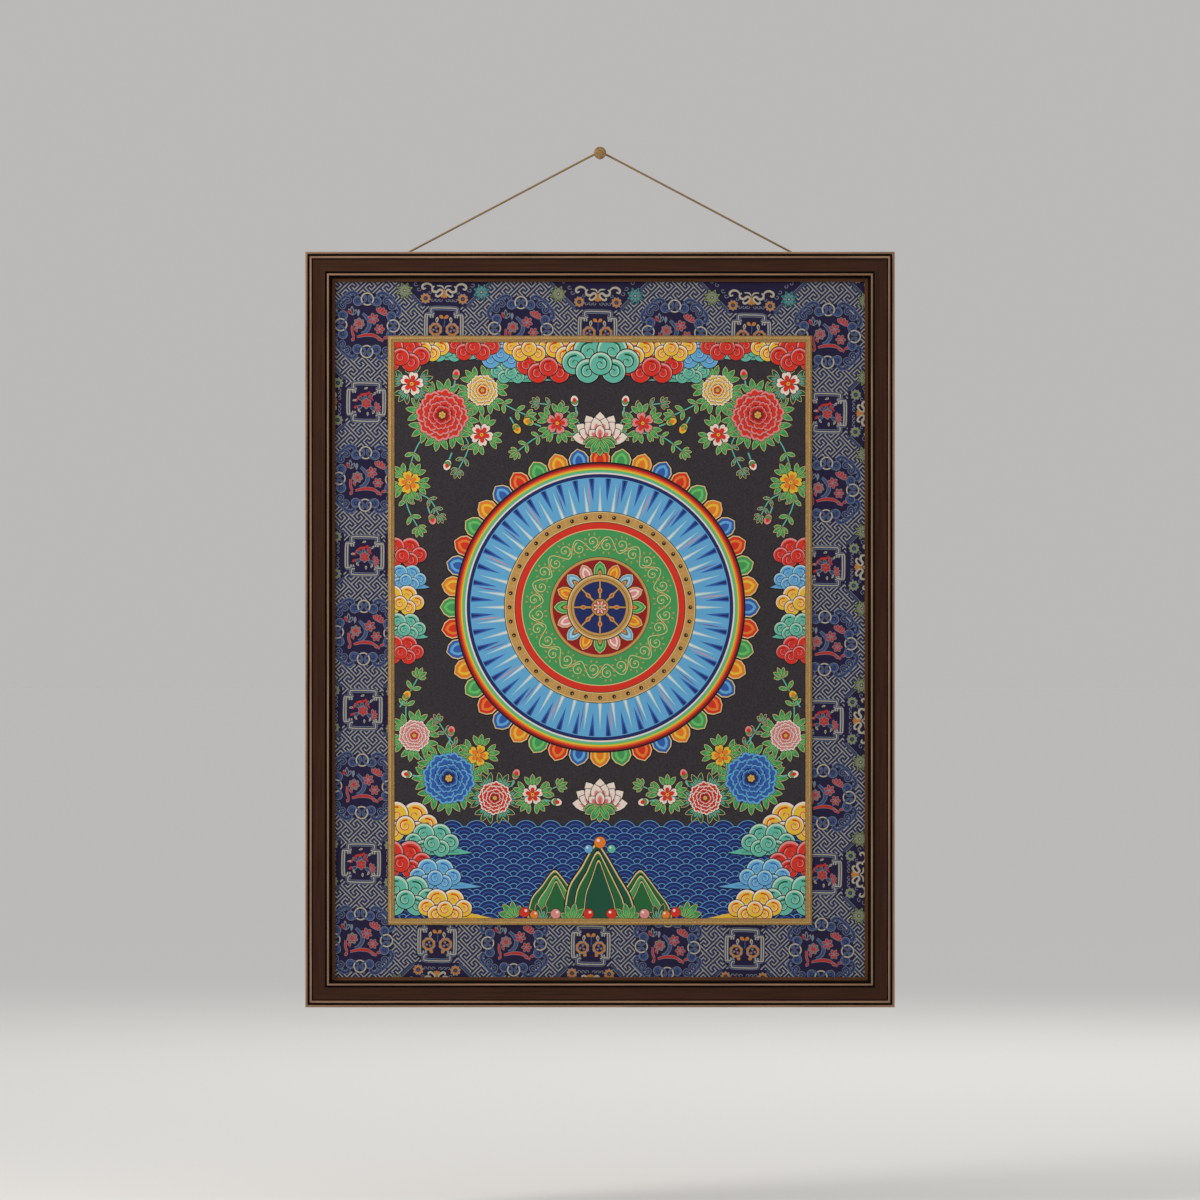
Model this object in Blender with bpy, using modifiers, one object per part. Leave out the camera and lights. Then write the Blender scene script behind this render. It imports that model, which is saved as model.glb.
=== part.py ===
"""Framed thangka: a painted cloth on a brocade ground, in a wooden frame that hangs by a cord.

Metres, +Z up. The wall is the plane Y = 0 and the picture faces -Y. The origin is the centre
of the wall knob's plate, on the wall. Run it in Blender, or with blender --background --python.
"""
import math

import bmesh
import bpy
from mathutils import Matrix, Vector

MM = 0.001
GAP = 0.3 * MM                      # clearance between pieces that touch

# ---------------------------------------------------------------- the picture and its borders
PAINTING_WIDTH = 500 * MM           # painted cloth between the gilt strips
PAINTING_HEIGHT = 701 * MM
STRIP_WIDTH = 8.0 * MM              # gilt strip around the painting
BORDER_SIDE = 64.0 * MM             # brocade that shows left and right
BORDER_TOP = 65.5 * MM
BORDER_BOTTOM = 63.5 * MM
MOULDING_WIDTH = 36.2 * MM          # wooden frame, outer edge to sight edge
FRAME_TOP = -121.0 * MM             # the frame's top edge, below the knob's centre

# ---------------------------------------------------------------- depths, from the frame's back
WALL_CLEARANCE = 11.0 * MM          # the frame's back hangs this far off the wall
BOARD_RECESS = 1.2 * MM             # the board lies this deep inside the back of the frame
BOARD_THICKNESS = 3.0 * MM
BROCADE_THICKNESS = 1.2 * MM
PAINTING_THICKNESS = 1.0 * MM
RABBET_WALL = 30.0 * MM             # from the frame's outer edge to the rabbet's side

# ---------------------------------------------------------------- cord and knob
CORD_DIAMETER = 2.5 * MM
CORD_BEND = 2 * CORD_DIAMETER       # radius of the cord's middle where it rides on the peg
CORD_DEPTH = 6.2 * MM               # the cord's middle, in front of the wall
CORD_EDGE_X = 233.6 * MM            # where the cord passes behind the frame's top edge
CORD_BEHIND = 3.0 * MM              # it ends in its knot this far below that edge
CORD_POINTS = 79
PLATE_RADIUS = 7.0 * MM
PLATE_THICKNESS = 2.0 * MM
HEAD_RADIUS = 7.6 * MM
HEAD_BACK = 10.4 * MM               # the head's inner face, in front of the wall
HEAD_THICKNESS = 4.4 * MM
PEG_DROP = 4.1 * MM                 # the peg lies below the head's centre and hides behind it
PEG_RADIUS = CORD_BEND - CORD_DIAMETER / 2 - GAP

# ---------------------------------------------------------------- hangers behind the top rail
RING_WIRE = 1.1 * MM                # radius of the ring's wire
RING_HALF_WIDTH = 7.5 * MM
RING_HEIGHT = 11.0 * MM
RING_CORNER = 1.5 * MM
RING_TOP_HEIGHT = 4.9 * MM          # the ring's top stands this far off the frame's back
STRAP_THICKNESS = 1.0 * MM
STRAP_WIDTH = 10.0 * MM
STRAP_LENGTH = 22.0 * MM
SCREW_PLACE = 15.0 * MM             # from the ring's bar to the screw
SCREW_SHANK = 1.7 * MM
SCREW_HEAD = 3.4 * MM
SCREW_HEAD_HEIGHT = 1.8 * MM
SCREW_DEPTH = 12.0 * MM             # of shank in the wood
KNOT_HALF_LENGTH = 4.2 * MM
KNOT_RADIUS = 3.3 * MM
LOOP_RADIUS = 2.9 * MM              # of the loop's middle, around the ring's wire

# ---------------------------------------------------------------- worked out
FRAME_WIDTH = PAINTING_WIDTH + 2 * (STRIP_WIDTH + BORDER_SIDE + MOULDING_WIDTH)
FRAME_HEIGHT = (PAINTING_HEIGHT + 2 * STRIP_WIDTH + BORDER_TOP + BORDER_BOTTOM
                + 2 * MOULDING_WIDTH)
FRAME_MIDDLE = FRAME_TOP - FRAME_HEIGHT / 2
FRAME_BACK = -WALL_CLEARANCE
PAINTING_MIDDLE = (FRAME_TOP - MOULDING_WIDTH - BORDER_TOP - STRIP_WIDTH
                   - PAINTING_HEIGHT / 2)
BOARD_LEVEL = BOARD_RECESS
BROCADE_LEVEL = BOARD_LEVEL + BOARD_THICKNESS + GAP
RABBET_DEPTH = BROCADE_LEVEL + BROCADE_THICKNESS + GAP
PAINTING_LEVEL = RABBET_DEPTH       # both lie on the brocade's face, a gap above it
LIP_TOP = RABBET_DEPTH + 3.0 * MM
BAR_HEIGHT = GAP + STRAP_THICKNESS + GAP + RING_WIRE


def fresh_scene():
    """Empty the scene and make a collection for the parts and one for the cutters."""
    for old in list(bpy.data.objects):
        bpy.data.objects.remove(old, do_unlink=True)
    parts = bpy.data.collections.new("framed_thangka")
    cutters = bpy.data.collections.new("cutters")
    for collection in (parts, cutters):
        bpy.context.scene.collection.children.link(collection)
    return parts, cutters


PARTS, CUTTERS = fresh_scene()


def material(name, colour, roughness, metallic=0.0):
    """A Principled material of one colour."""
    made = bpy.data.materials.new(name)
    made.use_nodes = True
    shader = made.node_tree.nodes["Principled BSDF"]
    shader.inputs["Base Color"].default_value = (*colour, 1.0)
    shader.inputs["Roughness"].default_value = roughness
    shader.inputs["Metallic"].default_value = metallic
    return made


def put(obj, collection, finish=None):
    """Move an object into one collection and give it its material."""
    for holder in list(obj.users_collection):
        holder.objects.unlink(obj)
    collection.objects.link(obj)
    if finish is not None:
        obj.data.materials.clear()
        obj.data.materials.append(finish)
    return obj


def as_cutter(obj):
    """Keep an object as a guide for a Boolean, out of the part itself."""
    put(obj, CUTTERS)
    obj.hide_render = True
    obj.display_type = "WIRE"
    return obj


def boolean(obj, cutter, operation):
    step = obj.modifiers.new(operation.lower(), "BOOLEAN")
    step.object = cutter
    step.operation = operation
    step.solver = "EXACT"


def smooth(obj, angle=35.0):
    obj.data.shade_smooth()
    obj.data.set_sharp_from_angle(angle=math.radians(angle))


def box(name, size, middle):
    """A box from the cube primitive, its scale applied."""
    bpy.ops.mesh.primitive_cube_add(size=1.0, location=middle)
    obj = bpy.context.object
    obj.name = name
    obj.data.transform(Matrix.Diagonal((*size, 1.0)))
    return obj


def outline_solid(name, loops, half_depth):
    """A flat outline in XY, with holes, given a thickness along Z."""
    curve = bpy.data.curves.new(name, "CURVE")
    curve.dimensions = "2D"
    curve.fill_mode = "BOTH"
    curve.extrude = half_depth
    for loop in loops:
        spline = curve.splines.new("POLY")
        spline.points.add(len(loop) - 1)
        for point, (x, y) in zip(spline.points, loop):
            point.co = (x, y, 0.0, 1.0)
        spline.use_cyclic_u = True
    return as_mesh(name, bpy.data.objects.new(name, curve))


def as_mesh(name, curve_obj):
    """Turn a curve object into a mesh object in the same place, its caps welded."""
    PARTS.objects.link(curve_obj)
    bpy.context.view_layer.update()
    graph = bpy.context.evaluated_depsgraph_get()
    mesh = bpy.data.meshes.new_from_object(curve_obj.evaluated_get(graph))
    made = bpy.data.objects.new(name, mesh)
    made.matrix_world = curve_obj.matrix_world
    curve = curve_obj.data
    bpy.data.objects.remove(curve_obj, do_unlink=True)
    bpy.data.curves.remove(curve)
    shape = bmesh.new()
    shape.from_mesh(mesh)
    bmesh.ops.remove_doubles(shape, verts=shape.verts, dist=0.00001)
    bmesh.ops.recalc_face_normals(shape, faces=shape.faces)
    shape.to_mesh(mesh)
    shape.free()
    made.name = name
    return made


def tube(name, points, radius, cyclic=False, resolution=2):
    """A round tube along points, as a curve with a bevel."""
    curve = bpy.data.curves.new(name, "CURVE")
    curve.dimensions = "3D"
    curve.bevel_depth = radius
    curve.bevel_resolution = resolution
    curve.use_fill_caps = not cyclic
    spline = curve.splines.new("POLY")
    spline.points.add(len(points) - 1)
    for point, place in zip(spline.points, points):
        point.co = (*place, 1.0)
    spline.use_cyclic_u = cyclic
    return bpy.data.objects.new(name, curve)


def turned(name, profile, steps=32):
    """A solid turned about Z from an outer profile of (radius, height), top to bottom."""
    mesh = bpy.data.meshes.new(name)
    verts = [(radius, 0.0, height) for radius, height in profile]
    mesh.from_pydata(verts, [(i, i + 1) for i in range(len(verts) - 1)], [])
    obj = bpy.data.objects.new(name, mesh)
    PARTS.objects.link(obj)
    screw = obj.modifiers.new("turn", "SCREW")
    screw.steps = steps
    screw.render_steps = steps
    screw.use_merge_vertices = True
    screw.merge_threshold = 0.00001
    return obj


# ---------------------------------------------------------------- mouldings
def bead(start, end, base, top, segments=6):
    """Points of a half-round bead between two distances across a moulding."""
    middle = (start + end) / 2
    half = (end - start) / 2
    points = []
    for i in range(segments + 1):
        angle = math.pi * (1 - i / segments)
        points.append((middle + half * math.cos(angle), base + (top - base) * math.sin(angle)))
    return points


def scoop(start, end, left, right, depth, segments=4):
    """Points of a shallow hollow between two heights."""
    points = []
    for i in range(segments + 1):
        t = i / segments
        sag = depth * 4 * t * (1 - t)
        points.append((start + (end - start) * t, left + (right - left) * t - sag))
    return points


def frame_section():
    """The frame's section: (distance from the outer edge, height above the back)."""
    section = [(0.0, 0.0)]
    section += bead(0.0, 2.7 * MM, 17.0 * MM, 18.6 * MM)             # outer bead
    section += [(3.0 * MM, 15.6 * MM), (4.3 * MM, 15.6 * MM)]         # groove
    section += bead(4.6 * MM, 8.0 * MM, 18.6 * MM, 20.6 * MM)         # second bead, the highest
    section += [(8.2 * MM, 17.6 * MM), (9.3 * MM, 17.6 * MM)]         # groove
    section += scoop(9.5 * MM, 22.8 * MM, 19.3 * MM, 19.5 * MM, 0.6 * MM)
    section += [(23.4 * MM, 20.0 * MM), (24.0 * MM, 19.8 * MM)]       # arris of the flat
    section += [(24.3 * MM, 16.4 * MM), (26.2 * MM, 16.0 * MM)]       # groove
    section += bead(26.4 * MM, 29.0 * MM, 16.6 * MM, 18.2 * MM)       # inner bead
    section += [(29.3 * MM, 15.2 * MM), (32.4 * MM, LIP_TOP + 0.6 * MM)]
    section += [(33.0 * MM, LIP_TOP), (MOULDING_WIDTH - 0.4 * MM, LIP_TOP)]
    section += [(MOULDING_WIDTH, LIP_TOP - 0.4 * MM), (MOULDING_WIDTH, RABBET_DEPTH)]
    section += [(RABBET_WALL, RABBET_DEPTH), (RABBET_WALL, 0.0)]
    return section


def strip_section():
    """The gilt strip's section: a ridge between a short outer and a long inner slope."""
    return [(0.0, 0.0), (0.0, 1.3 * MM), (0.5 * MM, 2.0 * MM), (2.6 * MM, 2.9 * MM),
            (3.4 * MM, 3.0 * MM), (4.2 * MM, 2.8 * MM), (7.2 * MM, 2.0 * MM),
            (STRIP_WIDTH, 1.4 * MM), (STRIP_WIDTH, 0.0)]


def mitred_length(name, section, length, side, edge, level, finish):
    """One mitred length of a section, its outer edge on one side of the frame.

    side is a quarter turn count: 0 top, 1 left, 2 bottom, 3 right. edge is the distance from
    the frame's middle to the outer edge, and level the height of the section's foot above the
    frame's back.
    """
    obj = outline_solid(name, [section], length / 2)
    for vert in obj.data.vertices:
        across, height, along = vert.co
        half = length / 2 - across - GAP * math.sqrt(0.5)
        vert.co = (math.copysign(half, along), -height, -across)
    obj.data.transform(Matrix.Translation((0.0, FRAME_BACK - level, edge)))
    obj.data.transform(Matrix.Rotation(-side * math.pi / 2, 4, "Y"))
    tidy_normals(obj)
    put(obj, PARTS, finish)
    return obj


def tidy_normals(obj):
    shape = bmesh.new()
    shape.from_mesh(obj.data)
    bmesh.ops.recalc_face_normals(shape, faces=shape.faces)
    shape.to_mesh(obj.data)
    shape.free()


def make_frame(finish):
    """Four mitred lengths of the wooden moulding."""
    section = frame_section()
    rails = []
    for name, side, length, edge in (
            ("frame_rail_top", 0, FRAME_WIDTH, FRAME_HEIGHT / 2),
            ("frame_stile_left", 1, FRAME_HEIGHT, FRAME_WIDTH / 2),
            ("frame_rail_bottom", 2, FRAME_WIDTH, FRAME_HEIGHT / 2),
            ("frame_stile_right", 3, FRAME_HEIGHT, FRAME_WIDTH / 2)):
        rail = mitred_length(name, section, length, side, edge, 0.0, finish)
        rail.location.z = FRAME_MIDDLE
        rails.append(rail)
    return rails


def make_gilt_strips(finish):
    """Four mitred gilt strips on the brocade, around the painting."""
    section = strip_section()
    width = PAINTING_WIDTH + 2 * STRIP_WIDTH
    height = PAINTING_HEIGHT + 2 * STRIP_WIDTH
    for name, side, length, edge in (
            ("gilt_strip_top", 0, width, height / 2),
            ("gilt_strip_left", 1, height, width / 2),
            ("gilt_strip_bottom", 2, width, height / 2),
            ("gilt_strip_right", 3, height, width / 2)):
        strip = mitred_length(name, section, length, side, edge, PAINTING_LEVEL, finish)
        strip.location.z = PAINTING_MIDDLE


# ---------------------------------------------------------------- flat sheets
def sheet(name, width, height, thickness, level, middle_z, finish):
    """A flat sheet whose back lies at a level above the frame's back."""
    middle_y = FRAME_BACK - level - thickness / 2
    obj = box(name, (width, thickness, height), (0.0, middle_y, middle_z))
    return put(obj, PARTS, finish)


def make_sheets(board_finish, brocade_finish, painting_finish):
    """The backing board, the brocade over its whole face, and the painting on the brocade."""
    inside_width = FRAME_WIDTH - 2 * (RABBET_WALL + GAP)
    inside_height = FRAME_HEIGHT - 2 * (RABBET_WALL + GAP)
    sheet("backing_board", inside_width, inside_height, BOARD_THICKNESS, BOARD_LEVEL,
          FRAME_MIDDLE, board_finish)
    sheet("brocade_sheet", inside_width, inside_height, BROCADE_THICKNESS, BROCADE_LEVEL,
          FRAME_MIDDLE, brocade_finish)
    sheet("painting_sheet", PAINTING_WIDTH - 2 * GAP, PAINTING_HEIGHT - 2 * GAP,
          PAINTING_THICKNESS, PAINTING_LEVEL, PAINTING_MIDDLE, painting_finish)


# ---------------------------------------------------------------- cord
def cord_slope():
    """The slope of the cord's straight runs, from the peg to the frame's top edge."""
    slope = 0.5
    for _ in range(20):
        apex = CORD_BEND * (1 + slope ** 2) - PEG_DROP
        slope = (apex - FRAME_TOP) / CORD_EDGE_X
    return slope


SLOPE = cord_slope()
PULL = math.atan(SLOPE)             # angle of the cord above the level, near the frame


def cord_height(x):
    """The cord's middle: a hyperbola that rides on the peg and runs straight to each side."""
    roundness = CORD_BEND * SLOPE ** 2
    top = CORD_BEND - PEG_DROP + roundness
    return top - math.hypot(roundness, SLOPE * x)


CORD_END_X = CORD_EDGE_X + CORD_BEHIND / SLOPE
CORD_END = Vector((CORD_END_X, -CORD_DEPTH, cord_height(CORD_END_X)))


def make_cord(finish):
    """The cord over the peg, from knot to knot, with its points closest near the peg."""
    points = []
    for i in range(CORD_POINTS):
        t = 2 * i / (CORD_POINTS - 1) - 1
        x = CORD_END_X * (0.55 * t + 0.45 * t ** 3)
        points.append((x, -CORD_DEPTH, cord_height(x)))
    put(tube("hanging_cord", points, CORD_DIAMETER / 2), PARTS, finish)


# ---------------------------------------------------------------- wall knob
def make_knob(finish):
    """A brass knob: wall plate, peg and domed head, one solid. The peg lies below the middle."""
    plate = turned("wall_knob", [
        (0.0, 0.0), (PLATE_RADIUS - 0.5 * MM, 0.0), (PLATE_RADIUS, -0.5 * MM),
        (PLATE_RADIUS, -PLATE_THICKNESS), (0.0, -PLATE_THICKNESS)])
    dome = HEAD_THICKNESS * 0.45
    rim = [(0.0, HEAD_BACK + HEAD_THICKNESS)]
    for i in range(1, 9):
        angle = math.radians(90 - 10 * i)
        rim.append((HEAD_RADIUS * math.cos(angle),
                    HEAD_BACK + HEAD_THICKNESS - dome + dome * math.sin(angle)))
    rim += [(HEAD_RADIUS, HEAD_BACK + HEAD_THICKNESS - dome - 0.2 * MM),
            (HEAD_RADIUS, HEAD_BACK + 0.5 * MM), (HEAD_RADIUS - 0.5 * MM, HEAD_BACK),
            (0.0, HEAD_BACK)]
    head = as_cutter(turned("knob_head", rim))
    overlap = 1.0 * MM
    length = HEAD_BACK - PLATE_THICKNESS + 2 * overlap
    bpy.ops.mesh.primitive_cylinder_add(
        vertices=32, radius=PEG_RADIUS, depth=length,
        location=(0.0, -PEG_DROP, PLATE_THICKNESS - overlap + length / 2))
    peg = as_cutter(bpy.context.object)
    peg.name = "knob_peg"
    plate.data.transform(Matrix.Translation((0.0, 0.0, PLATE_THICKNESS)))
    for obj in (plate, head, peg):
        obj.data.transform(Matrix.Translation(obj.location))
        obj.location = (0.0, 0.0, 0.0)
        obj.rotation_euler = (math.pi / 2, 0.0, 0.0)
    boolean(plate, peg, "UNION")
    boolean(plate, head, "UNION")
    put(plate, PARTS, finish)
    smooth(plate)


# ---------------------------------------------------------------- hangers
def pull_frame(side, distance, height):
    """A frame on the line of the cord's pull, past the cord's end by a distance.

    X runs up the line towards the knob, Y towards the wall. side is 1 right, -1 left.
    """
    along = Vector((-side * math.cos(PULL), 0.0, math.sin(PULL)))
    to_wall = Vector((0.0, 1.0, 0.0))
    across = along.cross(to_wall)
    place = Vector((side * CORD_END.x, FRAME_BACK + height, CORD_END.z)) - along * distance
    turn = Matrix((along, to_wall, across)).transposed().to_4x4()
    return Matrix.Translation(place) @ turn


KNOT_PLACE = GAP + KNOT_HALF_LENGTH
LOOP_PLACE = KNOT_PLACE + KNOT_HALF_LENGTH + 1.5 * MM
RING_PLACE = LOOP_PLACE + LOOP_RADIUS - CORD_DIAMETER / 2 - RING_WIRE - GAP
BAR_PLACE = RING_PLACE + RING_HEIGHT
CORD_STANDOFF = WALL_CLEARANCE - CORD_DEPTH   # the cord's middle above the frame's back


def make_knot(name, side, finish):
    """The knot at the cord's end and the loop that goes round the ring's wire, one solid."""
    bpy.ops.mesh.primitive_uv_sphere_add(segments=20, ring_count=12, radius=1.0)
    knot = bpy.context.object
    knot.name = name
    knot.data.transform(Matrix.Diagonal((KNOT_HALF_LENGTH, KNOT_RADIUS, KNOT_RADIUS, 1.0)))
    knot.data.transform(pull_frame(side, KNOT_PLACE, CORD_STANDOFF))
    bpy.ops.mesh.primitive_torus_add(major_radius=LOOP_RADIUS, minor_radius=CORD_DIAMETER / 2,
                                     major_segments=28, minor_segments=12)
    loop = as_cutter(bpy.context.object)
    loop.name = name + "_loop"
    loop.data.transform(pull_frame(side, LOOP_PLACE, CORD_STANDOFF))
    boolean(knot, loop, "UNION")
    put(knot, PARTS, finish)
    smooth(knot)


def ring_outline():
    """The ring's middle line: a straight bar, two tight corners and a half-ellipse."""
    points = []
    for i in range(5):
        angle = math.radians(-90 + 90 * i / 4)
        points.append((RING_HALF_WIDTH - RING_CORNER + RING_CORNER * math.cos(angle),
                       RING_CORNER + RING_CORNER * math.sin(angle)))
    for i in range(1, 16):
        angle = math.pi * i / 16
        points.append((RING_HALF_WIDTH * math.cos(angle),
                       RING_CORNER + (RING_HEIGHT - RING_CORNER) * math.sin(angle)))
    for i in range(5):
        angle = math.radians(180 + 90 * i / 4)
        points.append((-RING_HALF_WIDTH + RING_CORNER + RING_CORNER * math.cos(angle),
                       RING_CORNER + RING_CORNER * math.sin(angle)))
    return points


def make_ring(name, side, finish):
    """The wire ring, leaning off the frame's back from its bar to its top."""
    low = pull_frame(side, BAR_PLACE, BAR_HEIGHT)
    lean = (RING_TOP_HEIGHT - BAR_HEIGHT) / RING_HEIGHT
    points = [low @ Vector((up, up * lean, across)) for across, up in ring_outline()]
    put(tube(name, points, RING_WIRE, cyclic=True), PARTS, finish)


def make_strap(name, side, finish):
    """The hanger's strap: a flat plate folded round the ring's bar, with a screw hole."""
    outer = RING_WIRE + GAP + STRAP_THICKNESS
    inner = RING_WIRE + GAP
    centre = BAR_HEIGHT
    foot = centre - outer
    meet = math.asin((foot + STRAP_THICKNESS - centre) / outer)
    outline = [(-STRAP_LENGTH, foot)]
    arc_end = math.pi - meet
    for i in range(25):
        angle = -math.pi / 2 + (arc_end + math.pi / 2) * i / 24
        outline.append((outer * math.cos(angle), centre + outer * math.sin(angle)))
    outline.append((-STRAP_LENGTH, foot + STRAP_THICKNESS))
    hole = [(inner * math.cos(math.tau * i / 20), centre + inner * math.sin(math.tau * i / 20))
            for i in range(20)]
    strap = outline_solid(name, [outline, hole], STRAP_WIDTH / 2)
    strap.data.transform(pull_frame(side, BAR_PLACE, 0.0))
    tidy_normals(strap)
    boolean(strap, screw_hole(name + "_hole", side), "DIFFERENCE")
    put(strap, PARTS, finish)


def screw_matrix(side):
    """The screw's frame: Z out of the frame's back, at the back's surface."""
    place = pull_frame(side, BAR_PLACE + SCREW_PLACE, 0.0).translation
    return Matrix.Translation(place) @ Matrix.Rotation(-math.pi / 2, 4, "X")


def screw_hole(name, side):
    """A clearance cutter for the screw's shank, through the strap and into the rail."""
    depth = 2 * (SCREW_DEPTH + GAP)
    bpy.ops.mesh.primitive_cylinder_add(vertices=20, radius=SCREW_SHANK + GAP, depth=depth)
    cutter = as_cutter(bpy.context.object)
    cutter.name = name
    cutter.data.transform(screw_matrix(side))
    return cutter


def make_screw(name, side, finish):
    """A round-head wood screw, its shank in the rail."""
    seat = STRAP_THICKNESS + 2 * GAP
    profile = [(0.0, seat + SCREW_HEAD_HEIGHT)]
    for i in range(1, 6):
        angle = math.radians(90 - 15 * i)
        profile.append((SCREW_HEAD * math.cos(angle), seat + SCREW_HEAD_HEIGHT * math.sin(angle)))
    profile += [(SCREW_HEAD, seat), (SCREW_SHANK, seat), (SCREW_SHANK, -0.7 * SCREW_DEPTH),
                (0.0, -SCREW_DEPTH)]
    screw = turned(name, profile, steps=20)
    screw.matrix_world = screw_matrix(side)
    put(screw, PARTS, finish)
    smooth(screw)


def make_hangers(rail, steel, cord_finish):
    """A strap hanger behind each end of the top rail, with the cord's knot in its ring."""
    for word, side in (("left", -1), ("right", 1)):
        make_strap("hanger_strap_" + word, side, steel)
        make_ring("hanger_ring_" + word, side, steel)
        make_screw("hanger_screw_" + word, side, steel)
        make_knot("cord_knot_" + word, side, cord_finish)
        boolean(rail, screw_hole("rail_hole_" + word, side), "DIFFERENCE")


def main():
    wood = material("stained_wood", (0.055, 0.022, 0.013), 0.38)
    gilt = material("gilt", (0.52, 0.34, 0.13), 0.42, 0.75)
    board = material("brown_board", (0.30, 0.20, 0.12), 0.85)
    brocade = material("navy_brocade", (0.045, 0.045, 0.085), 0.70)
    painted = material("painted_cloth", (0.11, 0.08, 0.06), 0.80)
    brass = material("brass", (0.50, 0.34, 0.15), 0.35, 1.0)
    steel = material("zinc_steel", (0.55, 0.55, 0.53), 0.35, 1.0)
    twine = material("tan_cord", (0.28, 0.19, 0.10), 0.85)

    rails = make_frame(wood)
    make_gilt_strips(gilt)
    make_sheets(board, brocade, painted)
    make_cord(twine)
    make_knob(brass)
    make_hangers(rails[0], steel, twine)


main()
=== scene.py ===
"""The looks of the framed thangka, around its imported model. Metres, +Z up; the picture faces -Y."""
import math

import bmesh
import bpy
from mathutils import Matrix, Vector
from mathutils.geometry import delaunay_2d_cdt


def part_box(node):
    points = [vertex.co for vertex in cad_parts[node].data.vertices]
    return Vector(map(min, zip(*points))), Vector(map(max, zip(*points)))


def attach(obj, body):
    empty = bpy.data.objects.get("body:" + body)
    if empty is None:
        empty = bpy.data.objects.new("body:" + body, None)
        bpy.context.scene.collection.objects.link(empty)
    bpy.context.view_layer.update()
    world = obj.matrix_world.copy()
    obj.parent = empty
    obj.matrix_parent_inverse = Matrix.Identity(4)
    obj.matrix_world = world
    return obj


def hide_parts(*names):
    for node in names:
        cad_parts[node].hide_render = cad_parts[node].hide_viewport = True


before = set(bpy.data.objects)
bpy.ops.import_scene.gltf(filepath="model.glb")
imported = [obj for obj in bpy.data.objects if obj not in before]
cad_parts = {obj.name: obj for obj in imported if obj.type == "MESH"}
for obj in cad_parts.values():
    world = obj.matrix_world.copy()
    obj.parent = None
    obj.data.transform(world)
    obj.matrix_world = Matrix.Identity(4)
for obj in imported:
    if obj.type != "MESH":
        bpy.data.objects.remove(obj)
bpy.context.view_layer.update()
MM = 0.001

# ---------------------------------------------------------------- sizes, from the frame
FRAME_LOW, FRAME_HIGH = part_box("frame_stile_left")
FRAME_HALF_WIDTH = -FRAME_LOW.x
FRAME_BACK = FRAME_HIGH.y
FRAME_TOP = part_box("frame_rail_top")[1].z
FRAME_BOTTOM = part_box("frame_rail_bottom")[0].z
FRAME_MIDDLE = (FRAME_TOP + FRAME_BOTTOM) / 2
FRAME_HALF_HEIGHT = (FRAME_TOP - FRAME_BOTTOM) / 2
BROCADE_LOW, BROCADE_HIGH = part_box("brocade_sheet")
PAINTING_LOW, PAINTING_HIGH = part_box("painting_sheet")
PAINTING_MIDDLE = (PAINTING_LOW.z + PAINTING_HIGH.z) / 2
PAINTING_HALF_WIDTH = PAINTING_HIGH.x
PAINTING_HALF_HEIGHT = (PAINTING_HIGH.z - PAINTING_LOW.z) / 2
STRIP_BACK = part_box("gilt_strip_top")[1].y
PIECE_GAP = 0.3 * MM
MITRE_GAP = 0.02 * MM
STRIP_WIDTH = 8.0 * MM
ART_RISE = 0.1 * MM                  # how far a sheet's colours stand before its ground
LEVEL = 0.06 * MM                    # step between one level of colours and the next

# ---------------------------------------------------------------- camera
VIEW_WIDTH = 1.458                   # what the photo's 1200 pixels span at the frame, in metres
VIEW_DISTANCE = 10.0
VIEW_MIDDLE = -0.5443


def link(name, data):
    """A new object in the scene."""
    made = bpy.data.objects.new(name, data)
    bpy.context.scene.collection.objects.link(made)
    return made


def make_camera():
    data = bpy.data.cameras.new("camera")
    data.sensor_width = 36.0
    data.lens = data.sensor_width * VIEW_DISTANCE / VIEW_WIDTH
    camera = link("camera", data)
    camera.location = (0.0, FRAME_LOW.y - VIEW_DISTANCE, VIEW_MIDDLE)
    camera.rotation_euler = (math.pi / 2, 0.0, 0.0)
    bpy.context.scene.camera = camera


make_camera()


# ---------------------------------------------------------------- colours and materials
def display(red, green, blue):
    """A colour given as 0-255 display values, in the linear values that shaders use."""
    def linear(value):
        value /= 255
        return value / 12.92 if value <= 0.04045 else ((value + 0.055) / 1.055) ** 2.4
    return (linear(red), linear(green), linear(blue), 1.0)


def shade(colour, factor):
    """A darker or lighter version of a linear colour."""
    return tuple(min(1.0, c * factor) for c in colour[:3]) + (1.0,)


def node(tree, kind, links=(), **values):
    """Add a shader node. values set its properties or inputs, links are (input, socket)."""
    made = tree.nodes.new(kind)
    for key, value in values.items():
        if hasattr(made, key):
            setattr(made, key, value)
        else:
            made.inputs[key.replace("_", " ").title()].default_value = value
    for name, socket in links:
        tree.links.new(made.inputs[name], socket)
    return made


def base(name, colour, roughness, **more):
    """A material with its Principled shader; more sets that shader's sockets."""
    made = bpy.data.materials.new(name)
    made.use_nodes = True
    shader = made.node_tree.nodes["Principled BSDF"]
    shader.inputs["Base Color"].default_value = colour
    shader.inputs["Roughness"].default_value = roughness
    for key, value in more.items():
        shader.inputs[key.replace("_", " ").title().replace("Ior", "IOR")].default_value = value
    made.diffuse_color = colour
    return made, made.node_tree, shader


def place(tree, scale=(1.0, 1.0, 1.0)):
    """The object's own coordinates in metres, scaled."""
    coords = node(tree, "ShaderNodeTexCoord")
    mapping = node(tree, "ShaderNodeMapping", [("Vector", coords.outputs["Object"])])
    mapping.inputs["Scale"].default_value = scale
    return mapping.outputs["Vector"]


def threads(tree, vector, direction, pitch, distortion=0.0):
    """Parallel threads at a pitch, as a value from 0 to 1 across each thread."""
    return node(tree, "ShaderNodeTexWave", [("Vector", vector)], wave_type="BANDS",
                bands_direction=direction, Scale=math.tau / 20 / pitch,
                Distortion=distortion, Detail=1.0).outputs["Fac"]


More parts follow.
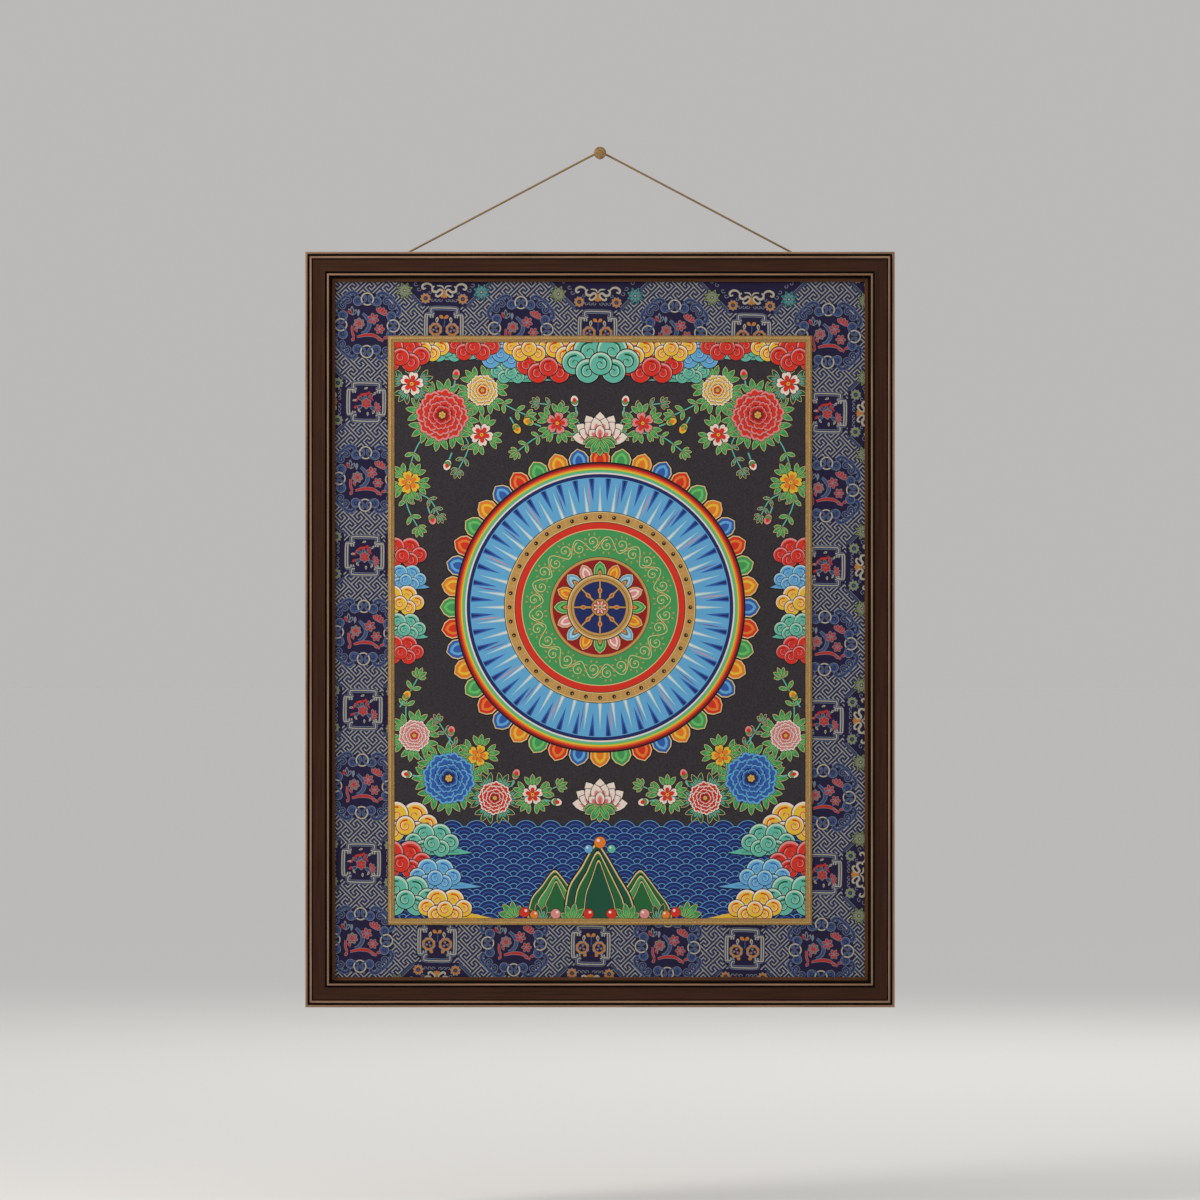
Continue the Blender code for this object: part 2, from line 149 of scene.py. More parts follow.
def combine(tree, operation, first, second):
    made = node(tree, "ShaderNodeMath", operation=operation)
    for socket, value in zip(made.inputs, (first, second)):
        if isinstance(value, (int, float)):
            socket.default_value = value
        else:
            tree.links.new(socket, value)
    return made.outputs[0]


def bump(tree, shader, height, depth, strength=1.0):
    made = node(tree, "ShaderNodeBump", [("Height", height)], Strength=strength)
    made.inputs["Distance"].default_value = depth
    tree.links.new(shader.inputs["Normal"], made.outputs["Normal"])


def vary(tree, shader, value, dark, light, low=0.3, high=0.7, socket="Base Color"):
    """A shader's colour, run between two tones by a value."""
    ramp = node(tree, "ShaderNodeValToRGB", [("Fac", value)])
    for stop, position, tone in zip(ramp.color_ramp.elements, (low, high), (dark, light)):
        stop.position = position
        stop.color = tone
    tree.links.new(shader.inputs[socket], ramp.outputs["Color"])


def mottle(tree, vector, size, detail=3.0):
    """Soft noise with features of a size in metres, from 0 to 1."""
    return node(tree, "ShaderNodeTexNoise", [("Vector", vector)], Scale=1.0 / size,
                Detail=detail).outputs["Fac"]


def weave(tree, vector):
    """The height of a plain weave: threads both ways."""
    return combine(tree, "ADD", *(threads(tree, vector, way, 0.7 * MM) for way in "XZ"))


def grained(name, tone, roughness, tones, grain, relief, height, scale=(1.0, 1.0, 1.0), **more):
    """A finish that mottles between two tones and has a fine relief. grain and relief are a
    size and a detail, height a depth and a strength, scale the relief's along each axis."""
    made, tree, shader = base(name, tone, roughness, **more)
    vary(tree, shader, mottle(tree, place(tree), *grain), *tones)
    bump(tree, shader, mottle(tree, place(tree, scale), *relief), *height)
    return made


def wood(name, along, tone, roughness):
    """Stained wood whose grain runs along one axis."""
    made, tree, shader = base(name, tone, roughness, specular_ior_level=0.09)
    vector = place(tree, [0.035 if axis == along else 1.0 for axis in "XYZ"])
    grain = mottle(tree, vector, 2.2 * MM, 6.0)
    vary(tree, shader, grain, shade(tone, 0.74), shade(tone, 1.26))
    pores = combine(tree, "MULTIPLY", mottle(tree, vector, 0.5 * MM, 4.0), 0.5)
    bump(tree, shader, combine(tree, "ADD", grain, pores), 0.12 * MM, 0.6)
    return made


def stippled_gilt(name, tone):
    """Gilt over gesso: fine stipple and a slight unevenness of colour."""
    return grained(name, tone, 0.5, (shade(tone, 0.64), shade(tone, 1.3)), (1.5 * MM, 5.0),
                   (0.8 * MM, 3.0), (0.3 * MM, 0.8), metallic=0.3, specular_ior_level=0.3)


def painted_ground(name, tone):
    """Sized cloth with a matt dark ground: fine grain of weave and pigment."""
    made, tree, shader = base(name, tone, 0.85, specular_ior_level=0.1)
    vector = place(tree)
    vary(tree, shader, mottle(tree, vector, 1.1 * MM, 6.0), shade(tone, 0.72), shade(tone, 1.34),
         0.35, 0.68)
    bump(tree, shader, weave(tree, vector), 0.05 * MM, 0.5)
    return made


def paint(name, tone, roughness=0.8, metallic=0.0):
    """Matt pigment on the cloth, which still shows the weave under it."""
    made, tree, shader = base(name, tone, roughness, metallic=metallic, specular_ior_level=0.14)
    vector = place(tree)
    rough = combine(tree, "ADD", weave(tree, vector), mottle(tree, vector, 0.8 * MM))
    bump(tree, shader, rough, 0.05 * MM, 0.5)
    return made


def thread(name, tone):
    """Floss laid side by side, slightly glossy."""
    made, tree, shader = base(name, tone, 0.55, specular_ior_level=0.15)
    vector = place(tree)
    uneven = combine(tree, "MULTIPLY", mottle(tree, vector, 1.8 * MM), 2.0)
    floss = threads(tree, vector, "DIAGONAL", 0.55 * MM, 1.0)
    bump(tree, shader, combine(tree, "ADD", floss, uneven), 0.16 * MM, 0.9)
    return made


def satin_ground(name, tone):
    """The brocade's navy satin: steep twill with a little slub."""
    made, tree, shader = base(name, tone, 0.6, specular_ior_level=0.15)
    twill = threads(tree, place(tree), "DIAGONAL", 0.8 * MM, 0.6)
    slub = mottle(tree, place(tree, (1.0, 1.0, 0.3)), 1.8 * MM, 5.0)
    both = combine(tree, "ADD", combine(tree, "MULTIPLY", twill, 0.35),
                   combine(tree, "MULTIPLY", slub, 0.65))
    vary(tree, shader, both, shade(tone, 0.5), shade(tone, 1.7), 0.25, 0.75)
    bump(tree, shader, twill, 0.15 * MM, 0.8)
    return made


# ---------------------------------------------------------------- flat shapes, in mm
def circle(radius, x=0.0, y=0.0, count=24):
    return ellipse(radius, radius, x, y, count)


def ellipse(across, up, x=0.0, y=0.0, count=24):
    return [(x + across * math.cos(math.tau * i / count),
             y + up * math.sin(math.tau * i / count)) for i in range(count)]


def arc(radius, start, end, x=0.0, y=0.0, count=12, end_radius=None):
    """A path along an arc or, with an end radius, a spiral. Angles in degrees."""
    end_radius = radius if end_radius is None else end_radius
    path = []
    for i in range(count + 1):
        t = i / count
        angle = math.radians(start + (end - start) * t)
        reach = radius + (end_radius - radius) * t
        path.append((x + reach * math.cos(angle), y + reach * math.sin(angle)))
    return path


def petal(length, width, start=0.0, lean=1.3):
    """A pointed petal or leaf up the Y axis. Above 1, lean moves its widest part outward."""
    steps = 7
    right = []
    for i in range(1, steps):
        t = i / steps
        right.append((width / 2 * math.sin(math.pi * t ** lean) ** 0.7, start + length * t))
    left = [(-x, y) for x, y in reversed(right)]
    return [(0.0, start)] + right + [(0.0, start + length)] + left


def frill(length, width, lobes=3, depth=0.09):
    """A fan-shaped petal up the Y axis, with a lobed outer edge."""
    spread = math.atan2(width / 2, length * 0.85)
    steps = 4
    points = [(0.0, 0.0)]
    for i in range(lobes * steps + 1):
        t = 2 * i / (lobes * steps) - 1
        lobe = 1 - depth + depth * abs(math.sin(math.pi * i / steps))
        reach = length * (1 - 0.16 * t * t) * lobe
        points.append((-reach * math.sin(spread * t), reach * math.cos(spread * t)))
    return points


def scallop(radius, lobes, depth):
    """A closed outline of round lobes."""
    points = []
    for i in range(lobes * 5):
        angle = math.tau * i / (lobes * 5)
        reach = radius * (1 - depth + depth * abs(math.sin(lobes * angle / 2)))
        points.append((reach * math.cos(angle), reach * math.sin(angle)))
    return points


def smooth(points, steps=6):
    """A smooth path through points, in the plane or in space."""
    points = [Vector(point) for point in points]
    path, last = [], len(points) - 1
    for i in range(last):
        before, a, b, after = (points[max(0, min(last, j))] for j in range(i - 1, i + 3))
        for k in range(steps):
            t = k / steps
            path.append(0.5 * (2 * a + (b - before) * t
                               + (2 * before - 5 * a + 4 * b - after) * t ** 2
                               + (3 * a - before - 3 * b + after) * t ** 3))
    return path + [points[-1]]


def both_ends(width, tip=0.15):
    """A ribbon's width that thins towards both ends."""
    return lambda t: width * (tip + (1 - tip) * math.sin(math.pi * t))


def one_end(width, tip=0.15):
    """A ribbon's width that thins towards its far end."""
    return lambda t: width * (1 - (1 - tip) * t)


def clip(points, low, high):
    """A polygon cut to a rectangle."""
    for axis in (0, 1):
        for limit, sign in ((low[axis], 1), (high[axis], -1)):
            kept = []
            for a, b in zip(points, points[1:] + points[:1]):
                inside_a = sign * (a[axis] - limit) >= 0
                inside_b = sign * (b[axis] - limit) >= 0
                if inside_a:
                    kept.append(a)
                if inside_a != inside_b:
                    t = (limit - a[axis]) / (b[axis] - a[axis])
                    kept.append(tuple(p + (q - p) * t for p, q in zip(a, b)))
            points = kept
            if len(points) < 3:
                return []
    return points


def area(points):
    """A polygon's area, above 0 where it runs counter-clockwise."""
    return sum(a[0] * b[1] - b[0] * a[1] for a, b in zip(points, points[1:] + points[:1])) / 2


def within(point, points):
    """True where a point lies in a polygon."""
    inside = False
    for a, b in zip(points, points[1:] + points[:1]):
        if (a[1] > point[1]) != (b[1] > point[1]):
            inside ^= point[0] < a[0] + (b[0] - a[0]) * (point[1] - a[1]) / (b[1] - a[1])
    return inside


class Stamp:
    """Shapes laid over each other by a drawing function, and flattened so that each spot keeps
    its topmost colour. Shapes are in mm, seen from the front, and kept within two corners."""

    def __init__(self, draw, *details, inside=None, merge=1e-4):
        self.inside = inside
        self.shapes = []
        draw(Spot(self), *details)
        self.shapes.sort(key=lambda shape: shape[0])
        corners, rings = [], []
        for _, _, points in self.shapes:
            rings.append(list(range(len(corners), len(corners) + len(points))))
            corners += [Vector(point) for point in points]
        flat, _, faces, _, _, owners = delaunay_2d_cdt(corners, [], rings, 1, merge, True)
        colours = sorted({colour for _, colour, _ in self.shapes})
        shape = bmesh.new()
        verts = [shape.verts.new((x, y, 0.0)) for x, y in flat]
        for face, owner in zip(faces, owners):
            middle = sum((flat[i] for i in face), Vector((0.0, 0.0))) / len(face)
            for number in sorted(owner, reverse=True):
                if within(middle, self.shapes[number][2]):
                    made = shape.faces.new([verts[i] for i in face])
                    made.material_index = colours.index(self.shapes[number][1])
                    break
        shape.normal_update()
        bmesh.ops.dissolve_limit(shape, angle_limit=math.radians(2), verts=shape.verts,
                                 edges=shape.edges, delimit={"MATERIAL"})
        straight = [v for v in shape.verts if len(v.link_edges) == 2 and v.calc_edge_angle(1.0) < 0.02]
        bmesh.ops.dissolve_verts(shape, verts=straight)
        self.faces = [(colours[face.material_index], [tuple(v.co[:2]) for v in face.verts])
                      for face in shape.faces]
        shape.free()

    def add(self, colour, points, layer):
        if self.inside:
            points = clip(points, *self.inside)
        size = area(points) if len(points) > 2 else 0.0
        if abs(size) > 1e-3:
            self.shapes.append((layer, colour, points if size > 0 else points[::-1]))


class Art:
    """A sheet's stamps, side by side or one thin level over another, in one mesh. Its lay
    turns a place of the pattern into one of the sheet."""

    def __init__(self, palette, low, high, lay=lambda x, y: (x, y)):
        self.palette = palette
        self.lay = lay
        self.low = (low.x / MM, low.z / MM)
        self.high = (high.x / MM, high.z / MM)
        self.verts, self.faces, self.slots = [], [], []
        self.order = list(palette)

    def press(self, stamp, x=0.0, y=0.0, level=0, mirror=False):
        """Lay a stamp's faces down at a place, cut to the sheet's edges."""
        sign = -1 if mirror else 1
        for colour, points in stamp.faces:
            points = [self.lay(x + sign * a, y + b) for a, b in points[::sign]]
            if any(not self.low[a] <= p[a] <= self.high[a] for p in points for a in (0, 1)):
                points = clip(points, self.low, self.high)
                if len(points) < 3:
                    continue
            first = len(self.verts)
            self.verts += [(p[0], level, p[1]) for p in points]
            self.faces.append(range(first, len(self.verts)))
            self.slots.append(self.order.index(colour))

    def build(self, name, depth, slot_name):
        """The mesh, its lowest level at a depth."""
        mesh = bpy.data.meshes.new(name)
        mesh.from_pydata([(x * MM, depth - level * LEVEL, z * MM) for x, level, z in self.verts],
                         [], self.faces)
        mesh.polygons.foreach_set("material_index", self.slots)
        for finish in self.palette.values():
            mesh.materials.append(finish)
        lay_flat_map(mesh)
        return put(name, mesh)


def lay_flat_map(mesh):
    """A flat map of the mesh, seen from the front, for its materials."""
    places = [vertex.co for vertex in mesh.vertices]
    low_x, low_z = min(p.x for p in places), min(p.z for p in places)
    span = max(max(p.x for p in places) - low_x, max(p.z for p in places) - low_z)
    layer = mesh.uv_layers.new(name="OFBake")
    for loop in mesh.loops:
        point = places[loop.vertex_index]
        layer.data[loop.index].uv = ((point.x - low_x) / span, (point.z - low_z) / span)


def put(name, mesh):
    """Add a mesh to the scene as a piece that rides with the frame."""
    made = link(name, mesh)
    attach(made, "root")
    return made


def outward(mesh):
    """Turn the faces of a closed mesh outward and shade it smooth."""
    shape = bmesh.new()
    shape.from_mesh(mesh)
    bmesh.ops.recalc_face_normals(shape, faces=shape.faces)
    shape.to_mesh(mesh)
    shape.free()
    mesh.shade_smooth()


def loft(name, rings, finishes, slots=None, sharp=None):
    """A closed piece through successive rings of points. slots gives each face's finish, and
    edges sharper than an angle in degrees stay sharp."""
    sides = len(rings[0])
    verts = [point for ring in rings for point in ring]
    last = len(verts) - sides
    faces = []
    for first in range(0, last, sides):
        for i in range(sides):
            a, b = first + i, first + (i + 1) % sides
            faces.append((a, b, b + sides, a + sides))
    faces += [range(sides)[::-1], range(last, len(verts))]
    mesh = bpy.data.meshes.new(name)
    mesh.from_pydata(verts, [], faces)
    for finish in finishes:
        mesh.materials.append(finish)
    if slots:
        mesh.polygons.foreach_set("material_index", slots)
    outward(mesh)
    if sharp:
        mesh.set_sharp_from_angle(angle=math.radians(sharp))
    return put(name, mesh)


class Spot:
    """A place on a Stamp to draw at, with its own turn, size and layer."""

    def __init__(self, stamp, matrix=Matrix(), layer=0):
        self.stamp = stamp
        self.matrix = matrix
        self.layer = layer

    def at(self, x=0.0, y=0.0, turn=0.0, size=1.0, mirror=False, up=0):
        """A spot within this one; turn in degrees, up in layers."""
        flip = Matrix.Diagonal((-1.0 if mirror else 1.0, 1.0, 1.0, 1.0))
        step = (Matrix.Translation((x, y, 0.0)) @ Matrix.Rotation(math.radians(turn), 4, "Z")
                @ Matrix.Scale(size, 4) @ flip)
        return Spot(self.stamp, self.matrix @ step, self.layer + up)

    def ring(self, count, start=0.0):
        """Spots turned evenly about this one, each with its Y axis outward."""
        return [self.at(turn=start + 360 * i / count) for i in range(count)]

    def halves(self):
        """This spot and its mirror image."""
        return self.at(mirror=True), self

    def points(self, points):
        return [tuple((self.matrix @ Vector((p[0], p[1], 0.0)))[:2]) for p in points]

    def fill(self, colour, outline):
        self.stamp.add(colour, self.points(outline), self.layer)

    def stroke(self, colour, path, width, closed=False):
        """A ribbon along a path; width is a number or a function of 0 to 1."""
        path = [Vector(point[:2]) for point in path]
        last = len(path) - 1
        sides = []
        for i, point in enumerate(path):
            if closed:
                along = path[(i + 1) % len(path)] - path[i - 1]
            else:
                along = path[min(i + 1, last)] - path[max(i - 1, 0)]
            across = Vector((-along.y, along.x)).normalized()
            half = (width(i / last) if callable(width) else width) / 2
            sides.append((point + across * half, point - across * half))
        pairs = list(zip(sides, sides[1:] + sides[:1]))
        for (a, b), (c, d) in pairs if closed else pairs[:-1]:
            self.fill(colour, [a, b, d])
            self.fill(colour, [a, d, c])

    def line(self, colour, a, b, width):
        """A straight run with square ends that reach half its width past both points."""
        a, b = Vector(a), Vector(b)
        along = (b - a).normalized() * width / 2
        across = Vector((-along.y, along.x))
        self.fill(colour, [a - along - across, b + along - across, b + along + across,
                           a - along + across])

    def edged(self, edge, colour, path, width, rim=0.7):
        """A ribbon with an edge of another colour along both sides."""
        wide = (lambda t: width(t) + 2 * rim) if callable(width) else width + 2 * rim
        self.stroke(edge, path, wide)
        self.stroke(colour, path, width)

    def petals(self, *coats):
        """Petals, each over the last: a colour, then length, width, start and lean."""
        for colour, *sizes in coats:
            self.fill(colour, petal(*sizes))

    def fan(self, turns, *coats):
        """Petals turned about this spot."""
        for turn in turns:
            self.at(turn=turn).petals(*coats)

    def bloom(self, count, start, *coats):
        """Petals all round this spot."""
        for leaf in self.ring(count, start):
            leaf.petals(*coats)

    def scatter(self, places, *coats):
        """Petals at places, each an x, a y and a turn."""
        for place_at in places:
            self.at(*place_at).petals(*coats)

    def discs(self, *colours_and_radii, count=96):
        """Round discs, each over the last."""
        for colour, radius in colours_and_radii:
            self.fill(colour, circle(radius, count=count))


# ---------------------------------------------------------------- brocade
# The repeat is set out from the middle of its first medallion, in mm.
LATTICE_LEFT = -283.5
LATTICE_TOP = -210.0
LATTICE_STEP = 93.5                  # half the repeat
LATTICE_LEAN = 0.011                 # the cloth lies a little askew: its rise leans right
LATTICE_FALL = -0.023                # and its run falls
COLUMNS, ROWS = range(-1, 9), range(-1, 10)
KEYS = 9                             # keys of the fret to one repeat, both ways
KEY_COLUMNS, KEY_ROWS = range(-4, 33), range(-7, 38)
KEY_START = (2.3, -47.9)             # the first key's place
KEY_BAR = [(2, 2), (3, 2), (3, 0)]   # half of a key's hooked bar, in eighths of the keys' spacing
KEY_HEIGHT = 7
KEY_REACH = 16.0
KEY_STEP = 2 * LATTICE_STEP / KEYS
MEDALLION = 41.0
CARTOUCHE = 26.0
DIAMOND = 97.0
DIAMOND_CUT = 68.5
COVERED_IN_ROUND = MEDALLION - 20    # a key within these of a motif's middle isn't laid
COVERED_IN_DIAMOND = DIAMOND - 24
DAISY_PLACE = (LATTICE_STEP / 2 - 1.4, -LATTICE_STEP / 2 - 3.4)
BROCADE_SINK = 0.15 * MM             # the scene's cloth lies this far behind its solid's face


def brocade_palette():
    tones = {
        "navy": (33, 28, 61), "deep": (24, 22, 38), "steel": (62, 72, 102), "slate": (66, 78, 109),
        "cream": (178, 171, 152), "blue": (60, 79, 122), "sky": (108, 130, 156),
        "red": (182, 50, 48), "pink": (154, 90, 82), "orange": (188, 122, 54),
        "leaf": (130, 140, 96), "teal": (66, 136, 138), "grey": (122, 126, 136)}
    return {name: thread("brocade_" + name, display(*tone)) for name, tone in tones.items()}


def lattice():
    """Every crossing of the lattice near the sheet: its column, row and place."""
    for column in COLUMNS:
        for row in ROWS:
            yield (column, row, LATTICE_LEFT + column * LATTICE_STEP,
                   LATTICE_TOP - row * LATTICE_STEP)


def askew(x, z):
    """The place in the frame of a place of the pattern, which is set out square."""
    x, z = x - LATTICE_LEFT, z - LATTICE_TOP
    return LATTICE_LEFT + x + LATTICE_LEAN * z, LATTICE_TOP + z + LATTICE_FALL * x


def hidden(x, z, reach):
    """True where a shape of that reach lies wholly under the painting or off the sheet."""
    x, z = askew(x, z)
    under = (abs(x) < PAINTING_HIGH.x / MM - reach
             and abs(z - PAINTING_MIDDLE / MM) < PAINTING_HALF_HEIGHT / MM - reach)
    off = (abs(x) > BROCADE_HIGH.x / MM + reach
           or not BROCADE_LOW.z / MM - reach < z < BROCADE_HIGH.z / MM + reach)
    return under or off


def covered(x, z):
    """True where a key there lies wholly under a motif."""
    for column, row, middle_x, middle_z in lattice():
        dx, dz = abs(x - middle_x), abs(z - middle_z)
        if column % 2 == 0 and row % 2 == 0:
            inside = math.hypot(dx, dz) < COVERED_IN_ROUND
        else:
            inside = column % 2 and row % 2 and dx + dz < COVERED_IN_DIAMOND
        if inside:
            return True
    return False


def draw_key(spot):
    """One key of the fret: a hooked I that locks into its neighbours, on the diagonals."""
    eighth = KEY_STEP / 8
    bar = KEY_BAR + [(-u, v) for u, v in reversed(KEY_BAR)]
    for run in (bar, [(u, KEY_HEIGHT - v) for u, v in bar], [(0, 0), (0, KEY_HEIGHT)]):
        ends = [((u - v) * eighth, -(u + v) * eighth) for u, v in run]
        for a, b in zip(ends, ends[1:]):
            spot.line("slate", a, b, 2.5)
            spot.at(up=1).line("cream", a, b, 0.88)


def press_fret(art):
    key = Stamp(draw_key, merge=0.03)
    for column in KEY_COLUMNS:
        for row in KEY_ROWS:
            x = LATTICE_LEFT + KEY_START[0] + column * KEY_STEP
            z = LATTICE_TOP + KEY_START[1] - row * KEY_STEP
            middle = (x - KEY_STEP / 2, z - KEY_STEP / 2)
            if not hidden(*middle, KEY_REACH) and not covered(*middle):
                art.press(key, x, z)


def draw_curl(spot, radius):
    """A blue disc with a pale edge and a dark spiral."""
    spot.discs(("grey", radius + 0.7), ("blue", radius), count=18)
    spot.stroke("navy", arc(radius * 0.6, 210, -150, count=11, end_radius=radius * 0.2),
                one_end(1.3, 0.6))


def draw_coin(spot):
    """A pale ring with a knot of two blue ribbons through it."""
    spot.fill("navy", circle(8.6))
    for side in spot.halves():
        draw_curl(side.at(11.5, -2.8), 5.2)
    spot.stroke("cream", circle(7.3), 1.6, closed=True)
    for side in spot.halves():
        ribbon = smooth([(9.5, -7.0), (5.4, -5.2), (2.0, -1.4), (2.4, 3.4), (4.6, 3.2),
                         (4.4, 0.4)], 4)
        side.edged("grey", "blue", ribbon, both_ends(1.9, 0.6), 0.35)


MEDALLION_SCROLLS = (
    ([(31.6, 31.0), (27.0, 34.6), (22.0, 38.8), (17.0, 39.8), (13.2, 37.4), (15.0, 34.6)], 3.8),
    ([(26.6, 34.0), (22.6, 33.2), (20.4, 29.8), (23.2, 27.2), (26.2, 29.2)], 2.8))


def draw_medallion(spot):
    spot.fill("navy", circle(MEDALLION - 1.0, count=40))
    for quarter in spot.ring(4):
        for side in quarter.halves():
            for points, width in MEDALLION_SCROLLS:
                path = smooth(points, 5)
                side.edged("grey", "blue", path, width, 0.4)
                side.stroke("navy", path[2:-2], 0.9)
            side.stroke("steel", arc(2.6, 0, 320, 21.0, 36.2, 10, 0.8), 0.8)
    for quarter in spot.ring(4):
        draw_coin(quarter.at(0.0, 32.0))
    draw_branch(spot)


def draw_blossom(spot, heart):
    """A small red flower of pointed petals with pale edges."""
    spot.bloom(6, 0.0, ("grey", 6.6, 4.2, 0.4))
    spot.bloom(6, 0.0, ("red", 5.2, 2.9, 1.1))
    spot.fill(heart, circle(1.4, count=10))


def draw_branch(spot):
    """A flowering branch in the medallion."""
    for colour, points, width, rim in (
            ("blue", [(-5.7, 14.3), (-1.1, 10.0), (2.7, 4.4), (2.2, -2.4), (-1.7, -8.0), (-6.6, -9.9)],
             both_ends(3.8, 0.5), 0.6),
            ("red", [(-17.8, -0.6), (-18.0, -8.0), (-16.0, -14.0)], 2.2, 0.5),
            ("red", [(-12.0, -14.5), (-4.0, -12.2), (4.0, -11.7), (11.0, -13.2), (20.0, -19.0)],
             both_ends(3.4, 0.5), 0.5)):
        spot.edged("grey", colour, smooth(points), width, rim)
    spot.scatter(((-15.0, -14.0, 150), (-12.0, -9.0, 20), (12.0, -14.0, -130), (19.0, -16.0, -70)),
                 ("grey", 7.0, 4.0), ("red", 6.0, 2.8, 0.4))
    draw_blossom(spot.at(7.6, 8.1, 12).at(size=1.05), "sky")
    draw_blossom(spot.at(15.4, -4.3, 30).at(size=0.95), "grey")
    spot.at(16.3, 14.0, -28).fan((-60, 60, -32, 32, 0), ("grey", 9.4, 4.6), ("red", 8.0, 3.2, 0.7))
    peony = spot.at(-9.7, 1.9)
    peony.bloom(7, 0.0, ("grey", 7.4, 5.0), ("pink", 6.4, 3.8))
    peony.bloom(5, 20, ("grey", 4.4, 3.2), ("red", 3.6, 2.2))
    bud = spot.at(-17.6, 11.5)
    for turn, length in ((34, 10.0), (-30, 9.0), (6, 12.0)):
        bud.at(turn=turn).petals(("grey", length, 4.0), ("navy", length - 3.6, 2.0, 1.6))
    bud.at(-3.4, 1.0, 20).fill("red", petal(6.6, 3.0))
    spot.at(-11.0, 10.5, -4).fill("grey", petal(9.0, 3.6))
    spot.at(-11.0, 11.8, -4).fill("sky", petal(5.6, 1.8))


def draw_bar(spot, reach, lines):
    """One side of a cartouche: a blue bar with curled ends and pale lines."""
    bar = smooth([(-11.6, reach - 7.2), (-15.0, reach - 6.6), (-15.8, reach - 2.2), (-12.6, reach),
                  (12.6, reach), (15.8, reach - 2.2), (15.0, reach - 6.6), (11.6, reach - 7.2)], 4)
    spot.edged("grey", "steel", bar, 4.0, 0.6)
    for step in lines:
        spot.stroke("cream", [(point[0], point[1] + step) for point in bar], 1.2)


def draw_cartouche(spot, flower):
    """A square of four bars with curled ends, and a flower inside."""
    reach, cut = CARTOUCHE - 1.0, 8.0
    spot.fill("navy", [(reach, cut - reach), (reach, reach - cut), (reach - cut, reach),
                       (cut - reach, reach), (-reach, reach - cut), (-reach, cut - reach),
                       (cut - reach, -reach), (reach - cut, -reach)])
    for i, side in enumerate(spot.ring(4)):
        draw_bar(side.at(size=0.95 if i % 2 else 1.0), 22.8, (-1.3, 1.4) if i % 2 else (0.2,))
    flower(spot)


def draw_twins(spot):
    """Two round orange flowers below a third."""
    spot.stroke("blue", [(0.0, 12.0), (0.8, 7.0), (0.2, 0.0)], 1.4)
    for side in spot.halves():
        side.at(9.0, 4.4, 8).fill("cream", petal(8.0, 3.8))
        side.at(9.0, 6.0, 8).fill("deep", petal(4.6, 1.3))
        side.at(0.4, 10.2, -52).fill("orange", petal(6.4, 4.4))
        side.at(5.6, -9.6, -150).fill("orange", petal(5.0, 4.6))
        head = side.at(10.2, -3.0)
        head.fill("grey", scallop(8.6, 8, 0.1))
        head.fill("orange", scallop(7.8, 8, 0.14))
        head.fill("deep", circle(5.0, count=16))
        head.bloom(3, 15, ("blue", 5.8, 4.4), ("orange", 2.8, 1.6, 1.0))


def draw_pair(spot):
    """A red flower with a smaller one beside it, among blue leaves."""
    for x, y, turn, length in ((3.0, 2.0, -24, 10.0), (-3.0, 2.0, 58, 9.0), (-4.0, -4.0, 118, 8.0),
                               (4.0, -5.0, -120, 9.0), (0.0, 0.0, 10, 9.0)):
        spot.at(x, y, turn).petals(("grey", length, 5.0), ("steel", length - 1.4, 3.6, 0.6))
    head = spot.at(0.2, -1.6)
    head.bloom(6, 0.0, ("grey", 7.0, 4.8), ("red", 6.0, 3.8))
    head.fill("pink", circle(1.5, count=10))
    for points, width in (([(-9.0, 4.6), (-6.0, 8.8), (1.0, 10.0), (3.9, 13.0)], 3.0),
                          ([(3.9, 12.6), (5.0, 7.0), (8.6, 2.0)], 2.6)):
        spot.stroke("red", smooth(points, 4), both_ends(width, 0.4))
    spot.scatter(((-10.4, 5.4, 160), (-10.4, -4.0, 130)), ("red", 6.0, 3.0))
    spot.at(11.0, -6.5, -78).fan((-70, -35, 0, 35, 70), ("grey", 7.6, 3.4), ("red", 6.4, 2.2, 0.6))
    spot.scatter(((-3.0, 16.0, -70), (8.4, 8.4, -40), (-6.6, -12.6, 40), (2.0, -17.0, 0),
                  (7.6, -14.6, -30), (-17.0, 1.6, -80)),
                 ("cream", 5.2, 2.6), ("navy", 2.8, 0.9, 1.2))


DIAMOND_SCROLLS = (
    ([(2.8, 55.1), (2.2, 50.0), (5.3, 48.2), (9.2, 50.9), (13.3, 50.1), (14.6, 46.4), (12.1, 43.9)],
     5, 3.0),
    ([(0.4, 47.6), (3.0, 43.9), (9.0, 43.4)], 5, 1.8),
    ([(1.2, 49.6), (3.4, 53.6), (7.2, 56.4), (10.2, 55.4), (9.6, 53.2)], 4, 2.5),
    ([(13.4, 46.4), (17.2, 41.8), (22.6, 41.0), (26.6, 44.0), (25.6, 47.6), (22.4, 46.4)], 5, 2.8))
EDGE_CURLS = (4.6, 9.4, 14.2)
DIAMOND_CURLS = ((31.0, 48.0, -20, 3.0), (17.4, 51.4, 30, 2.4), (34.6, 41.6, -50, 3.0))


